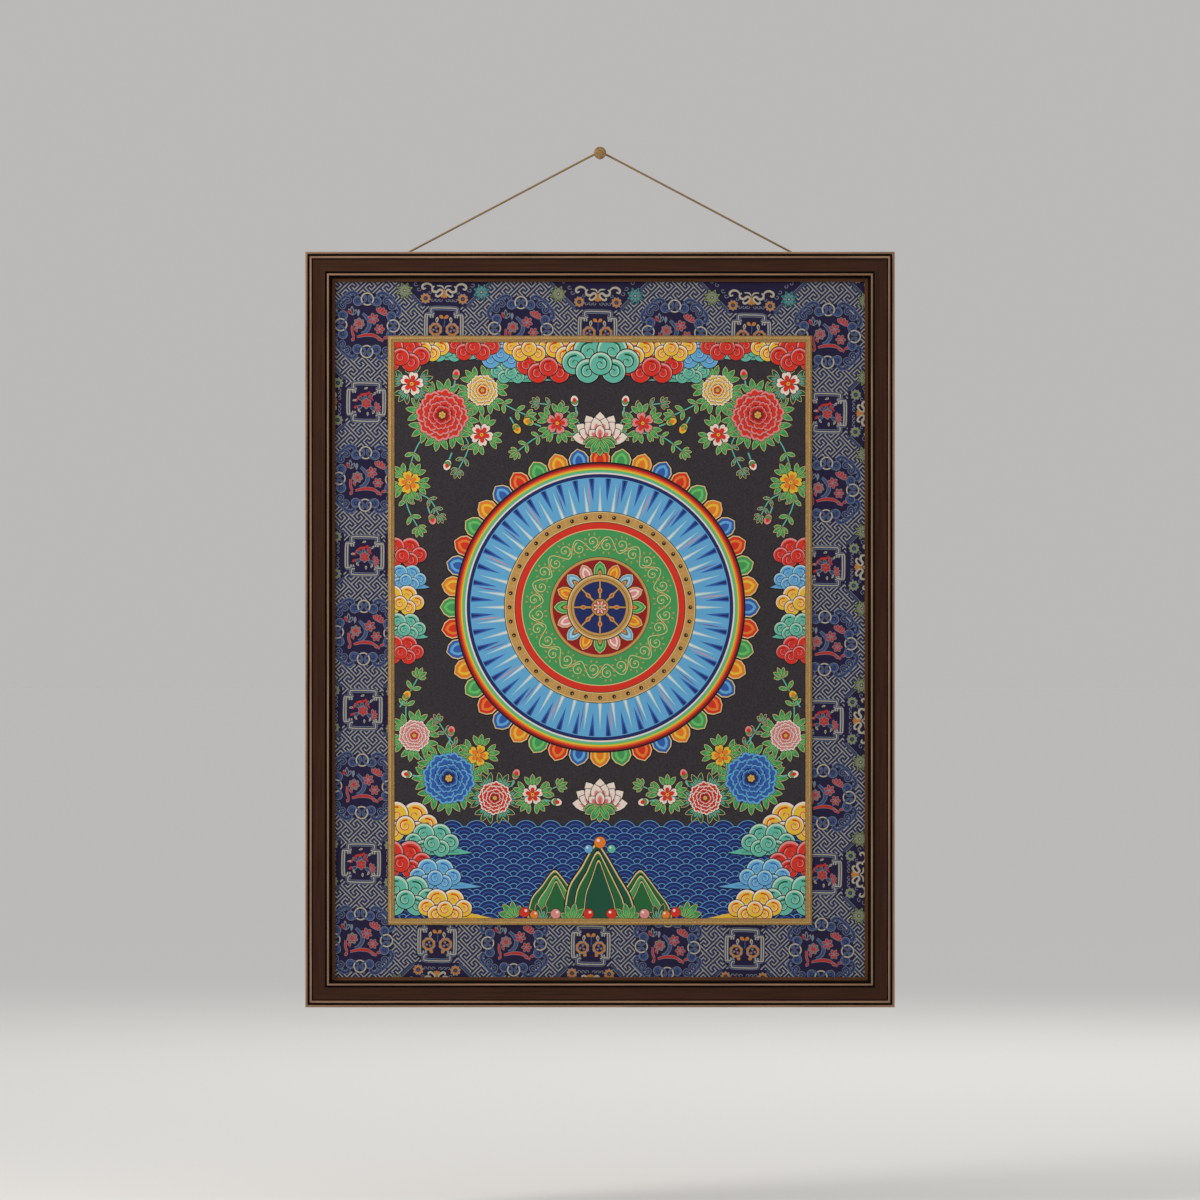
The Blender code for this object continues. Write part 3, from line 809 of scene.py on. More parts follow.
def draw_diamond(spot, tint):
    """The eight-sided field between the medallions, with a scroll towards each side."""
    a, b = DIAMOND - DIAMOND_CUT, DIAMOND_CUT
    spot.fill("navy", [(a, b), (-a, b), (-b, a), (-b, -a), (-a, -b), (a, -b), (b, -a), (b, a)])
    for side in spot.ring(4):
        side.line("steel", (b - 1.0, a - 0.4), (a - 0.4, b - 1.0), 2.6)
        side.line("grey", (b - 3.6, a - 1.0), (a - 1.0, b - 3.6), 0.7)
        for half in side.halves():
            for points, steps, width in DIAMOND_SCROLLS:
                half.stroke("cream", smooth(points, steps), both_ends(width, 0.5))
            for x in EDGE_CURLS:
                half.at(x, 60.8).stroke("grey", arc(2.5, 200, -100, 0.0, 0.0, 8, 0.8), 0.8)
            draw_rosette(half.at(22.6, 59.0), tint)
            for x, y, turn, radius in DIAMOND_CURLS:
                half.at(x, y, turn).stroke("grey", arc(radius, 200, -120, 0.0, 0.0, 9, 0.8), 0.8)
        side.at(0.0, 48.0).petals(("orange", 5.4, 3.4))
        side.scatter(((0.0, 52.6, -34), (0.0, 52.6, 34), (0.0, 52.6, 0)), ("orange", 6.2, 3.0))


def draw_rosette(spot, tint):
    """A flower of nine petals with pale edges."""
    spot.bloom(9, 0.0, ("grey", 6.9, 3.8))
    spot.bloom(9, 0.0, (tint, 6.2, 2.7))
    spot.fill("deep", circle(2.7, count=12))
    spot.fill("blue", circle(1.9, count=10))


def draw_daisy(spot, colour):
    """A thin-petalled flower over the fret."""
    spot.bloom(8, 22.5, ("deep", 11.2, 5.0, 0.2, 1.2))
    spot.bloom(8, 0.0, ("grey", 6.4, 1.6, 1.6))
    spot.bloom(8, 22.5, (colour, 9.4, 3.4, 1.2, 1.2), ("deep", 4.4, 0.9, 4.6))
    spot.fill("deep", circle(2.0, count=10))
    spot.fill("cream", circle(1.3, count=8))


def make_brocade():
    """The brocade cloth and, woven on it, its fret, medallions, cartouches and flowers."""
    palette = brocade_palette()
    fret, rounds, motifs = (Art(palette, BROCADE_LOW, BROCADE_HIGH, askew) for _ in range(3))
    press_fret(fret)
    medallion = Stamp(draw_medallion)
    twins, pair = Stamp(draw_cartouche, draw_twins), Stamp(draw_cartouche, draw_pair)
    diamonds = {tint: Stamp(draw_diamond, tint) for tint in ("orange", "leaf")}
    daisies = [Stamp(draw_daisy, colour) for colour in ("leaf", "teal")]
    for column, row, x, z in lattice():
        if column % 2 and row % 2:
            if not hidden(x, z, DIAMOND_CUT + 2):
                motifs.press(diamonds["orange" if row in (ROWS[0], ROWS[-1]) else "leaf"], x, z, 1)
        elif column % 2 == 0 and row % 2 == 0:
            if not hidden(x, z, MEDALLION + 4):
                rounds.press(medallion, x, z, 2)
        elif not hidden(x, z, CARTOUCHE + 2):
            motifs.press(pair if row % 2 else twins, x, z, 2)
        x, z = x + DAISY_PLACE[0], z + DAISY_PLACE[1]
        if not hidden(x, z, 10.0):
            motifs.press(daisies[column % 2], x, z, 3)
    face = BROCADE_LOW.y + BROCADE_SINK
    pattern = [art.build(name, face - ART_RISE, "navy_brocade") for name, art in
               (("brocade_fret", fret), ("brocade_medallions", rounds), ("brocade_motifs", motifs))]
    satin = satin_ground("brocade_satin", display(35, 30, 62))
    cloth = thin_sheet("brocade_cloth", BROCADE_LOW, BROCADE_HIGH, face, satin)
    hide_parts("brocade_sheet")


def thin_sheet(name, low, high, front, finish):
    """A flat closed sheet from a front face to its node's back."""
    shape = bmesh.new()
    bmesh.ops.create_cube(shape, size=1.0)
    size = Vector((high.x - low.x, high.y - front, high.z - low.z))
    middle = Vector(((low.x + high.x) / 2, (high.y + front) / 2, (low.z + high.z) / 2))
    bmesh.ops.scale(shape, vec=size, verts=shape.verts)
    bmesh.ops.translate(shape, vec=middle, verts=shape.verts)
    mesh = bpy.data.meshes.new(name)
    shape.to_mesh(mesh)
    shape.free()
    mesh.materials.append(finish)
    return put(name, mesh)


# ---------------------------------------------------------------- painting
def painting_palette():
    tones = {
        "ink": (38, 33, 36), "red": (210, 52, 38), "crimson": (150, 30, 34),
        "orange": (224, 122, 44), "yellow": (226, 184, 56), "white": (232, 216, 204),
        "pink": (218, 138, 136), "sky": (98, 166, 210), "pale_sky": (168, 206, 216),
        "blue": (52, 92, 170), "deep_blue": (36, 46, 98), "violet": (120, 84, 152),
        "teal": (96, 180, 160), "pale_teal": (180, 210, 190), "green": (70, 150, 88),
        "bright": (104, 188, 100), "dark_green": (34, 82, 60), "hill": (40, 100, 58),
        "gold": (196, 152, 88), "pale_gold": (222, 196, 136), "brown": (92, 64, 40)}
    made = {name: paint("paint_" + name, display(*tone)) for name, tone in tones.items()}
    made["gold"] = paint("paint_gold", display(*tones["gold"]), 0.5, 0.3)
    made["pale_gold"] = paint("paint_pale_gold", display(*tones["pale_gold"]), 0.55, 0.2)
    return made


LEAF_LIGHT = {"green": "bright", "dark_green": "teal"}


def draw_leaf(spot, length, width, tone="green"):
    """A leaf with a pale gold edge, a lighter middle and a dark vein."""
    spot.petals(("ink", length + 1.4, width + 1.3, -0.7, 1.15),
                ("pale_gold", length, width, 0.0, 1.15),
                (tone, length - 1.1, width - 1.1, 0.5, 1.15),
                (LEAF_LIGHT[tone], length * 0.6, width * 0.46, 1.2, 1.15))
    spot.stroke("dark_green", [(0.0, 1.0), (0.0, length - 2.0)], one_end(0.8, 0.4))


def draw_spray(spot, leaves=5, size=1.0, tone="green"):
    """A fan of leaves from one point, the middle one in front."""
    order = sorted(range(leaves), key=lambda i: -abs(i - (leaves - 1) / 2))
    for i in order:
        turn = -64 + 128 * i / (leaves - 1)
        length = size * (13.5 + 4.5 * math.cos(math.radians(turn * 1.4)))
        draw_leaf(spot.at(turn=turn), length, 6.6 * size, tone)


def draw_ruff(spot, radius, count, start=0.0, tone="green"):
    """Leaves that stand out all round from under a flower."""
    for leaf in spot.ring(count, start):
        for turn in (-38, 38, 0):
            draw_leaf(leaf.at(0.0, radius * 0.7, turn), 12.5 + radius * 0.3, 5.6 + radius * 0.07,
                      tone)


def draw_vine(spot, path, tone="green", size=1.0):
    """A stem with leaves to both sides and a spray at its end."""
    stem = smooth(path, 8)
    spot.stroke("ink", stem, 2.4)
    spot.stroke("teal", stem, 1.5)
    for i in range(4, len(stem) - 2, 4):
        along = stem[i + 1] - stem[i]
        turn = math.degrees(math.atan2(along.y, along.x)) - 90
        for lean in (-52, 52) if i % 2 else (52, -52):
            draw_leaf(spot.at(stem[i].x, stem[i].y, turn + lean), 12.5 * size, 5.6 * size, tone)
    end = stem[-1] - stem[-2]
    draw_spray(spot.at(stem[-1].x, stem[-1].y, math.degrees(math.atan2(end.y, end.x)) - 90),
               5, 0.8 * size, tone)


# rings of petals: share of the flower's radius, count and first turn
PEONY_RINGS = ((1.0, 8, 0.0), (0.78, 7, 24.0), (0.56, 6, 8.0), (0.36, 5, 40.0))


def draw_peony(spot, radius, dark, tone, light):
    """A full flower: rings of frilled petals, each over the last, around a gold heart."""
    for share, count, start in PEONY_RINGS:
        reach = radius * share
        width = reach * math.tau / count * 1.2
        for leaf in spot.ring(count, start):
            leaf.fill("ink", frill(reach + 0.6, width + 1.1))
            leaf.fill(light, frill(reach, width))
            leaf.fill(tone, frill(reach * 0.93 - 0.3, width * 0.84))
            leaf.fill(dark, petal(reach * 0.66, width * 0.5, reach * 0.05, 1.5))
            for turn in (-15, 15):
                leaf.at(turn=turn).stroke(dark, [(0.0, reach * 0.4), (0.0, reach * 0.84)],
                                          one_end(radius * 0.028))
    spot.fill("ink", scallop(radius * 0.17, 6, 0.15))
    spot.fill("gold", scallop(radius * 0.14, 6, 0.18))
    for seed in spot.ring(6):
        seed.fill("yellow", circle(radius * 0.03, 0.0, radius * 0.08, 8))


def draw_star_flower(spot, radius, tone, light):
    """An open flower of five long petals with a red throat."""
    for leaf in spot.ring(5):
        leaf.fill("ink", frill(radius + 0.8, radius * 1.1, 2, 0.14))
        leaf.fill(light, frill(radius, radius * 1.02, 2, 0.14))
        leaf.fill(tone, petal(radius * 0.7, radius * 0.4, 0.2, 1.3))
        for turn in (-15, 15):
            leaf.at(turn=turn).stroke(tone, [(0.0, radius * 0.3), (0.0, radius * 0.82)],
                                      one_end(radius * 0.06))
    spot.fill("yellow", circle(radius * 0.15, count=12))
    spot.fill("brown", circle(radius * 0.06, count=8))


def draw_bud(spot, tone, light):
    """A closed bud on a short stalk."""
    spot.stroke("teal", [(0.0, -9.0), (0.0, 0.0)], 1.5)
    spot.fill("ink", ellipse(4.6, 6.2, 0.0, 4.4, 16))
    spot.fill(light, ellipse(3.8, 5.4, 0.0, 4.4, 16))
    spot.fill(tone, ellipse(2.3, 3.7, 0.0, 3.8, 14))
    spot.fan((-38, 38), ("green", 5.8, 2.6))


def draw_lotus(spot, size=1.0):
    """A lotus from the side, with a back and a front row of petals."""
    spot = spot.at(size=size)
    for turns, length, width in (((-84, 84, -58, 58, -30, 30, 0), 27.0, 13.0),
                                 ((-66, 66, -40, 40, -14, 14), 22.0, 11.5),
                                 ((-90, 90, -50, 50, 0), 14.0, 9.0)):
        for turn in turns:
            leaf = spot.at(turn=turn)
            leaf.petals(("ink", length + 1.4, width + 1.5, -0.7, 1.1),
                        ("white", length, width, 0.0, 1.1),
                        ("pink", length * 0.72, width * 0.6, 0.4, 1.1))
            for lean in (-7, 0, 7):
                leaf.at(turn=lean).stroke("red", [(0.0, 2.0), (0.0, length * 0.78)], one_end(0.8))
    for turn in (-104, 104, -120, 120, 180, -150, 150):
        draw_leaf(spot.at(0.0, 1.0, turn), 17.0, 7.6)


CLOUD_LOBES = ((-9.0, 9.0, 12.5), (10.0, 10.0, 12.0), (-21.0, 0.0, 9.5), (22.0, 1.0, 9.5),
               (-10.0, -7.0, 9.5), (11.0, -7.0, 9.5), (0.5, -1.0, 9.0))


def draw_cloud(spot, tone, line, light, streamer=0.0):
    """A cloud of round lobes with pale tops and curls, and a pointed streamer if asked."""
    if streamer:
        trail = smooth([(-6.0, -2.0), (-12.0 - streamer * 0.4, -6.0), (-12.0 - streamer, -12.0)], 5)
        trail += smooth([(-12.0 - streamer, -12.2), (-12.0 - streamer * 0.4, -14.2), (12.0, -14.0),
                         (19.0, -8.0)], 5)
        spot.at(0.0, -0.3, size=1.04).fill("ink", trail)
        spot.fill(tone, trail)
        for step in (0.0, 2.8):
            spot.stroke(line, [(8.0, -11.8 + step), (-12.0 - 0.55 * streamer, -12.0 + step * 0.5)],
                        one_end(1.1, 0.3))
    for x, y, radius in CLOUD_LOBES:
        lobe = spot.at(x, y, mirror=x < 0)
        lobe.fill("ink", circle(radius + 0.9, count=26))
        lobe.fill(light, circle(radius, count=26))
        lobe.fill(tone, circle(radius * 0.9, 0.0, -radius * 0.11, 26))
        lobe.stroke(line, arc(radius * 0.66, 110, -340, 0.0, -radius * 0.06, 22, radius * 0.12),
                    one_end(1.6, 0.5))
        lobe.stroke(light, arc(radius * 0.5, 60, -250, 0.0, -radius * 0.06, 16, radius * 0.2),
                    one_end(0.8, 0.4))


RING_OUTER = 176.0
RAY_OUTER = 158.0
BEAD_OUTER = 116.0
BEAD_INNER = 104.0
VINE_INNER = 61.0


def draw_lotus_ring(spot, inner, outer, count, tones):
    """Upright lotus petals in turn of colour, each with a pale rim and a curled heart."""
    half, length = math.pi * inner / count, outer - inner
    rim = [(-half, -2.0), (half, -2.0), (half * 1.08, length * 0.4), (half * 0.74, length * 0.74),
           (half * 0.24, length * 0.92), (0.0, length), (-half * 0.24, length * 0.92),
           (-half * 0.74, length * 0.74), (-half * 1.08, length * 0.4)]
    for i, leaf in enumerate(spot.ring(count)):
        tone, light = tones[i % len(tones)]
        for colour, wide, high in (("ink", 1.0, 1.0), ("pale_gold", 0.9, 0.95), (tone, 0.8, 0.89),
                                   (light, 0.56, 0.72), (tone, 0.34, 0.54)):
            leaf.at(0.0, inner).fill(colour, [(x * wide, y * high) for x, y in rim])


def draw_rays(spot, inner, outer, count=96):
    """A field of light: blue rays that narrow inward, pale ones outward, and fine lines."""
    for i, ray in enumerate(spot.ring(count)):
        near, far = math.pi * inner / count * 0.6, math.pi * outer / count * 0.7
        if i % 2:
            for tone, share, start in (("blue", 1.0, 12), ("deep_blue", 0.5, 26)):
                ray.fill(tone, [(-far * share, outer - 1.0), (0.0, inner + start),
                                (far * share, outer - 1.0)])
        else:
            for tone, share, end in (("pale_sky", 1.0, 6), ("white", 0.4, 18)):
                ray.fill(tone, [(-near * share, inner), (near * share, inner), (0.0, outer - end)])
        if i % 4 == 1:
            path = [(0.0, inner + 4), (0.0, (inner + outer) / 2), (0.0, outer - 4)]
            ray.at(turn=180 / count).stroke("pink" if i % 8 == 1 else "violet", path, both_ends(1.6))


def draw_beads(spot, inner, outer, count=40):
    """A gilt band set with dark round beads."""
    middle = (inner + outer) / 2
    spot.discs(("ink", outer + 0.9), ("pale_gold", outer), ("gold", outer - 1.0),
               ("pale_gold", inner + 1.0), ("ink", inner))
    for bead in spot.ring(count):
        bead.fill("brown", circle(2.6, 0.0, middle, 14))
        bead.fill("ink", circle(1.8, 0.0, middle, 12))
        bead.fill("pale_gold", circle(0.6, -0.5, middle + 0.5, 8))
    for bead in spot.ring(count, 180 / count):
        for step in (-3.0, 0.0, 3.0):
            bead.fill("pale_gold", circle(0.55, 0.0, middle + step, 6))


def draw_scrollwork(spot, inner, outer, count=14):
    """A fine gold vine: a wave between two rings, with curls and leaves in its bays."""
    middle, swing = (inner + outer) / 2, (outer - inner) * 0.3
    steps = count * 20
    wave = []
    for i in range(steps):
        angle = math.tau * i / steps
        reach = middle + swing * math.sin(count * angle)
        wave.append((reach * math.cos(angle), reach * math.sin(angle)))
    spot.stroke("pale_gold", wave, 0.9, closed=True)
    for i, bay in enumerate(spot.ring(count * 2, 90 / count - 90)):
        outward = i % 2 == 0
        curl = bay.at(0.0, middle + (-swing if outward else swing) * 0.3, 180 if outward else 0)
        curl.stroke("pale_gold", arc(7.4, -90, 400, count=26, end_radius=1.0), one_end(1.1, 0.5))
        curl.fan((20, 65, 110, -20, -65, -110), ("gold", 3.6, 1.9, 7.6))
        curl.fill("pale_gold", circle(1.0, count=8))


def draw_wheel(spot, radius):
    """A gilt wheel of eight spokes on a ring of lotus petals."""
    draw_lotus_ring(spot, radius + 2, radius + 19, 16,
                    (("green", "bright"), ("pink", "white"), ("sky", "pale_sky"), ("orange", "yellow")))
    spot.discs(("ink", radius + 2.6), ("pale_gold", radius + 1.4), ("gold", radius - 0.2),
               ("brown", radius - 2.8), ("gold", radius - 3.5), ("deep_blue", radius - 6.4), count=64)
    for spoke in spot.ring(8):
        spoke.fill("ink", [(-2.1, 6.0), (2.1, 6.0), (1.4, radius - 6.0), (-1.4, radius - 6.0)])
        spoke.fill("gold", [(-1.4, 6.0), (1.4, 6.0), (0.8, radius - 6.0), (-0.8, radius - 6.0)])
        spoke.petals(("gold", 8.6, 5.4, radius * 0.42, 1.0),
                     ("red", 4.6, 2.2, radius * 0.42 + 2.0, 1.0), ("ink", 9.0, 6.6, radius, 0.8),
                     ("gold", 7.8, 5.0, radius, 0.8))
        spoke.fill("red", circle(1.2, 0.0, radius + 3.0, 8))
    spot.discs(("ink", 11.2), ("gold", 10.4), count=32)
    spot.bloom(8, 22.5, ("crimson", 9.4, 5.4), ("pink", 7.8, 3.4, 0.6), ("white", 4.4, 1.4, 3.6))
    spot.fill("pale_gold", circle(2.8, count=14))
    spot.fill("green", circle(1.8, count=12))


def draw_mandala(spot):
    """The round middle of the design: lotus rim, rainbow, light, beads, vine and wheel."""
    draw_lotus_ring(spot, RING_OUTER, RING_OUTER + 20, 44,
                    (("red", "orange"), ("blue", "sky"), ("orange", "yellow"), ("green", "bright")))
    spot.discs(("ink", RING_OUTER + 1.0), ("crimson", RING_OUTER - 1.2), ("red", RING_OUTER - 3.0),
               ("orange", RING_OUTER - 4.8), ("yellow", RING_OUTER - 6.6), ("bright", RING_OUTER - 8.4),
               ("teal", RING_OUTER - 10.2), ("white", RING_OUTER - 12.0),
               ("deep_blue", RING_OUTER - 13.8), ("sky", RAY_OUTER), count=120)
    draw_rays(spot, BEAD_OUTER, RAY_OUTER)
    draw_beads(spot, BEAD_INNER, BEAD_OUTER)
    spot.discs(("red", BEAD_INNER - 0.8), ("pale_gold", BEAD_INNER - 8.4), ("green", BEAD_INNER - 9.4))
    draw_scrollwork(spot, VINE_INNER + 3, BEAD_INNER - 12)
    spot.discs(("ink", VINE_INNER + 0.6), ("gold", VINE_INNER), ("crimson", VINE_INNER - 3.2))
    draw_wheel(spot, 38.0)


WAVE_RADIUS = 15.0
WAVE_BANDS = ((1.0, "sky"), (0.95, "deep_blue"), (0.72, "blue"), (0.64, "deep_blue"), (0.40, "sky"),
              (0.35, "deep_blue"))


def draw_waves(spot, rows, columns):
    """Rows of round scale waves, each row over the one behind it."""
    for row in range(rows):
        shift = WAVE_RADIUS if row % 2 else 0.0
        for column in range(-columns, columns + 1):
            scale = spot.at(column * 2 * WAVE_RADIUS + shift, -row * WAVE_RADIUS / 2)
            for share, tone in WAVE_BANDS:
                scale.fill(tone, circle(WAVE_RADIUS * share, count=32))


def press_waves(art, top, bottom):
    """Waves across the sheet: a first row with round tops, then tiles of the repeat."""
    span = 2 * WAVE_RADIUS
    tile = Stamp(draw_waves, 6, 2, inside=((0.0, -span), (span, -WAVE_RADIUS)))
    crest = Stamp(draw_waves, 6, 2, inside=((0.0, -WAVE_RADIUS), (span, WAVE_RADIUS)))
    for column in range(-9, 9):
        art.press(crest, column * span, top)
        for row in range(int((top - bottom) / WAVE_RADIUS) + 1):
            art.press(tile, column * span, top - row * WAVE_RADIUS)


def draw_rock(spot, width, height, tones):
    """A steep rock of folded facets with gold edges."""
    for share in (1.0, 0.74, 0.46):
        half, rise = width / 2 * share, height * (0.6 + 0.4 * share)
        outline = smooth([(-half, 0.0), (-half * 0.86, rise * 0.42), (-half * 0.5, rise * 0.7),
                          (-half * 0.12, rise), (half * 0.16, rise * 0.86), (half * 0.5, rise * 0.58),
                          (half * 0.84, rise * 0.3), (half, 0.0)], 4)
        tone = tones[0 if share > 0.9 or share < 0.5 else 1]
        for colour, grow in (("ink", 1.0), ("pale_gold", 0.965), (tone, 0.93)):
            spot.fill(colour, [(point[0] * grow, point[1] * grow) for point in outline])


def draw_pearl(spot, radius, tone):
    spot.discs(("ink", radius + 0.6), (tone, radius), count=16)
    spot.fill("white", circle(radius * 0.3, -radius * 0.3, radius * 0.35, 8))


CLOUDS = {"red": ("red", "crimson", "pink"), "yellow": ("yellow", "red", "white"),
          "sky": ("sky", "blue", "pale_sky"), "teal": ("teal", "dark_green", "pale_teal")}


def draw_garden(spot, vines, ruffs, buds, peonies, stars):
    """Flowers among leaves: vines, then leaves under the flowers, buds, and the flowers."""
    for path, *details in vines:
        draw_vine(spot, path, *details)
    for x, y, radius, count, start, tone in ruffs:
        draw_ruff(spot.at(x, y), radius, count, start, tone)
    for x, y, turn, tone, light in buds:
        draw_bud(spot.at(x, y, turn, 1.2), tone, light)
    for x, y, turn, radius, *tones in peonies:
        draw_peony(spot.at(x, y, turn), radius, *tones)
    for x, y, turn, radius, *tones in stars:
        draw_star_flower(spot.at(x, y, turn), radius, *tones)


# The right-hand flowers above and below: vines, ruffs, buds, peonies and star flowers.
UPPER_GARDEN = (
    (([(196, 262), (226, 216), (236, 160), (222, 126)],),
     ([(178, 250), (160, 226), (172, 196)], "dark_green", 0.9),
     ([(150, 300), (118, 276), (90, 262)],),
     ([(232, 170), (208, 160), (196, 140)], "dark_green", 0.8)),
    ((192, 262, 33, 8, 10, "green"), (143, 292, 20, 6, 20, "green"),
     (229, 300, 15, 5, 0, "dark_green"), (144, 238, 14, 4, 20, "green"),
     (232, 180, 14, 5, 30, "green")),
    ((116, 312, 60, "red", "pink"), (104, 250, 150, "orange", "yellow"),
     (184, 206, 200, "red", "white"), (206, 140, 160, "red", "pink"),
     (176, 306, 10, "red", "pink")),
    ((192, 262, 8, 33.0, "crimson", "red", "pink"), (143, 292, 20, 20.0, "red", "yellow", "white")),
    ((229, 300, 12, 15.0, "red", "white"), (144, 238, 30, 14.5, "red", "white"),
     (232, 180, -14, 14.5, "orange", "yellow")))
LOWER_GARDEN = (
    (([(192, -182), (228, -140), (236, -92), (222, -58)],),
     ([(170, -190), (120, -206), (84, -202), (52, -190)], "green", 0.95),
     ([(150, -150), (176, -140), (196, -112)], "dark_green", 0.85)),
    ((184, -180, 33, 8, 0, "green"), (226, -128, 20, 6, 10, "green"),
     (128, -204, 21, 6, 30, "dark_green"), (148, -152, 14, 5, 10, "green"),
     (82, -200, 13, 5, 0, "green")),
    ((104, -180, 20, "red", "pink"), (238, -84, 30, "orange", "yellow"),
     (58, -208, 100, "red", "white"), (182, -128, 10, "red", "pink"),
     (230, -176, -80, "red", "white")),
    ((184, -180, 14, 33.0, "deep_blue", "blue", "sky"), (226, -128, 30, 20.0, "red", "pink", "white"),
     (128, -204, 6, 21.0, "crimson", "red", "white")),
    ((148, -152, 20, 13.5, "orange", "yellow"), (82, -200, 0, 13.0, "red", "white")))


def draw_crown(spot):
    """The right-hand half of the leaves and flowers over the round middle."""
    draw_vine(spot, [(14, 236), (44, 240), (74, 236), (100, 218)], "green", 0.9)
    draw_vine(spot, [(20, 246), (44, 270), (74, 276)], "dark_green", 0.85)
    draw_ruff(spot.at(52, 252), 14, 5, 10)
    draw_star_flower(spot.at(52, 252, 12), 14.0, "red", "pink")
    for x, y, turn, tone, light in ((82, 252, -70, "orange", "yellow"), (30, 274, -10, "red", "white")):
        draw_bud(spot.at(x, y, turn, 1.2), tone, light)


def draw_clouds(spot, places):
    for x, y, size, name, streamer in places:
        draw_cloud(spot.at(x, y, size=size), *CLOUDS[name], streamer=streamer)


SIDE_CLOUDS = ((240, 92, 0.95, "red", 0), (236, 62, 0.8, "sky", 24), (243, 34, 0.95, "yellow", 0),
               (238, 2, 0.85, "teal", 22), (242, -26, 0.9, "red", 0), (236, -236, 1.25, "yellow", 0),
               (204, -258, 1.05, "teal", 34), (242, -282, 1.2, "red", 0), (200, -300, 1.0, "sky", 44),
               (236, -326, 1.25, "teal", 0), (188, -338, 1.05, "yellow", 44))
TOP_CLOUDS = ((108, 314, 0.8, "teal", 50), (120, 338, 1.15, "sky", 0), (62, 322, 1.25, "red", 0),
              (86, 344, 1.0, "yellow", 0), (30, 342, 1.15, "yellow", 0), (186, 342, 0.9, "teal", 30),
              (154, 346, 1.05, "red", 0), (214, 344, 1.0, "yellow", 0), (242, 334, 1.15, "red", 0))
MIDDLE_CLOUD = ((0, 326, 1.5, "teal", 0),)
WATER_TOP, WATER_BOTTOM = 246.0, 352.0   # below the painting's middle
MANDALA_RISE = 28.0
LOTUS_RISES = (-214.0, 232.0)

def draw_shore(spot):
    """Green rocks in the water, and pearls above them."""
    for x, width, height, tones in ((-52.0, 76.0, 62.0, ("hill", "green")),
                                    (52.0, 76.0, 62.0, ("hill", "green")),
                                    (0.0, 92.0, 96.0, ("dark_green", "hill"))):
        draw_rock(spot.at(x, -352.0), width, height, tones)
    for x, y, radius, tone in ((-14, -266, 5.0, "sky"), (14, -266, 5.0, "teal"),
                               (0, -258, 7.0, "orange")):
        draw_pearl(spot.at(x, y), radius, tone)
    for side in spot.halves():
        for x, y, turn, tone in ((104, -350, -40, "green"), (72, -354, -14, "dark_green"),
                                 (34, -354, 10, "green")):
            draw_spray(side.at(x, y, turn), 5, 1.25, tone)
        for x, y, radius, tone in ((92, -343, 6.0, "red"), (80, -346, 5.0, "orange"),
                                   (54, -345, 6.0, "pink"), (14, -345, 6.0, "red")):
            draw_pearl(side.at(x, y), radius, tone)


def make_painting():
    """The painted cloth. Its design has no figure: a wheel in a round of lotus petals, over
    water and under a bank of cloud, with flowers and leaves at its corners."""
    palette = painting_palette()
    water, art = (Art(palette, PAINTING_LOW, PAINTING_HIGH) for _ in range(2))
    middle = PAINTING_MIDDLE / MM
    field = ((art.low[0], art.low[1] - middle), (art.high[0], art.high[1] - middle))
    press_waves(water, middle - WATER_TOP, middle - WATER_BOTTOM)
    art.press(Stamp(draw_shore, inside=field), 0.0, middle, 1)
    for level, draw, *details in ((2, draw_garden, *UPPER_GARDEN), (2, draw_garden, *LOWER_GARDEN),
                                  (3, draw_crown), (6, draw_clouds, SIDE_CLOUDS),
                                  (6, draw_clouds, TOP_CLOUDS)):
        stamp = Stamp(draw, *details, inside=field)
        for mirror in (False, True):
            art.press(stamp, 0.0, middle, level, mirror)
    art.press(Stamp(draw_mandala), 0.0, middle + MANDALA_RISE, 4)
    lotus = Stamp(draw_lotus, 1.25)
    for rise in LOTUS_RISES:
        art.press(lotus, 0.0, middle + rise, 5)
    art.press(Stamp(draw_clouds, MIDDLE_CLOUD, inside=field), 0.0, middle, 7)
    colours = [layer.build("painting_" + word, PAINTING_LOW.y - ART_RISE, "painted_cloth")
               for word, layer in (("water", water), ("design", art))]
    ground = painted_ground("painting_ground", display(56, 52, 56))
    cloth = thin_sheet("painting_cloth", PAINTING_LOW, PAINTING_HIGH, PAINTING_LOW.y, ground)
    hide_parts("painting_sheet")


# ---------------------------------------------------------------- mouldings
MITRE_CUTS = 8                       # steps along a length
LIP_TOP = 9.0                        # in mm in front of the frame's back, as in the sections
RABBET_DEPTH = 6.0


def bead(start, end, foot, top):
    """Points of a half-round bead between two distances across a moulding, in mm."""
    middle, half = (start + end) / 2, (end - start) / 2
    return [(middle - half * math.cos(math.pi * i / 10),
             foot + (top - foot) * math.sin(math.pi * i / 10)) for i in range(11)]


def worn_highlit_bead(start, end, foot, top):
    """A bead whose crest is in a lighter tone: partly wood rubbed through, partly a painted highlight.
    """
    points = bead(start, end, foot, top)
    return [("dark", points[:3]), ("worn_and_highlit", points[3:9]), ("dark", points[9:])]


def toned(runs):
    """Each point of a section with the tone of its stretch."""
    return [(tone, point) for tone, stretch in runs for point in stretch]


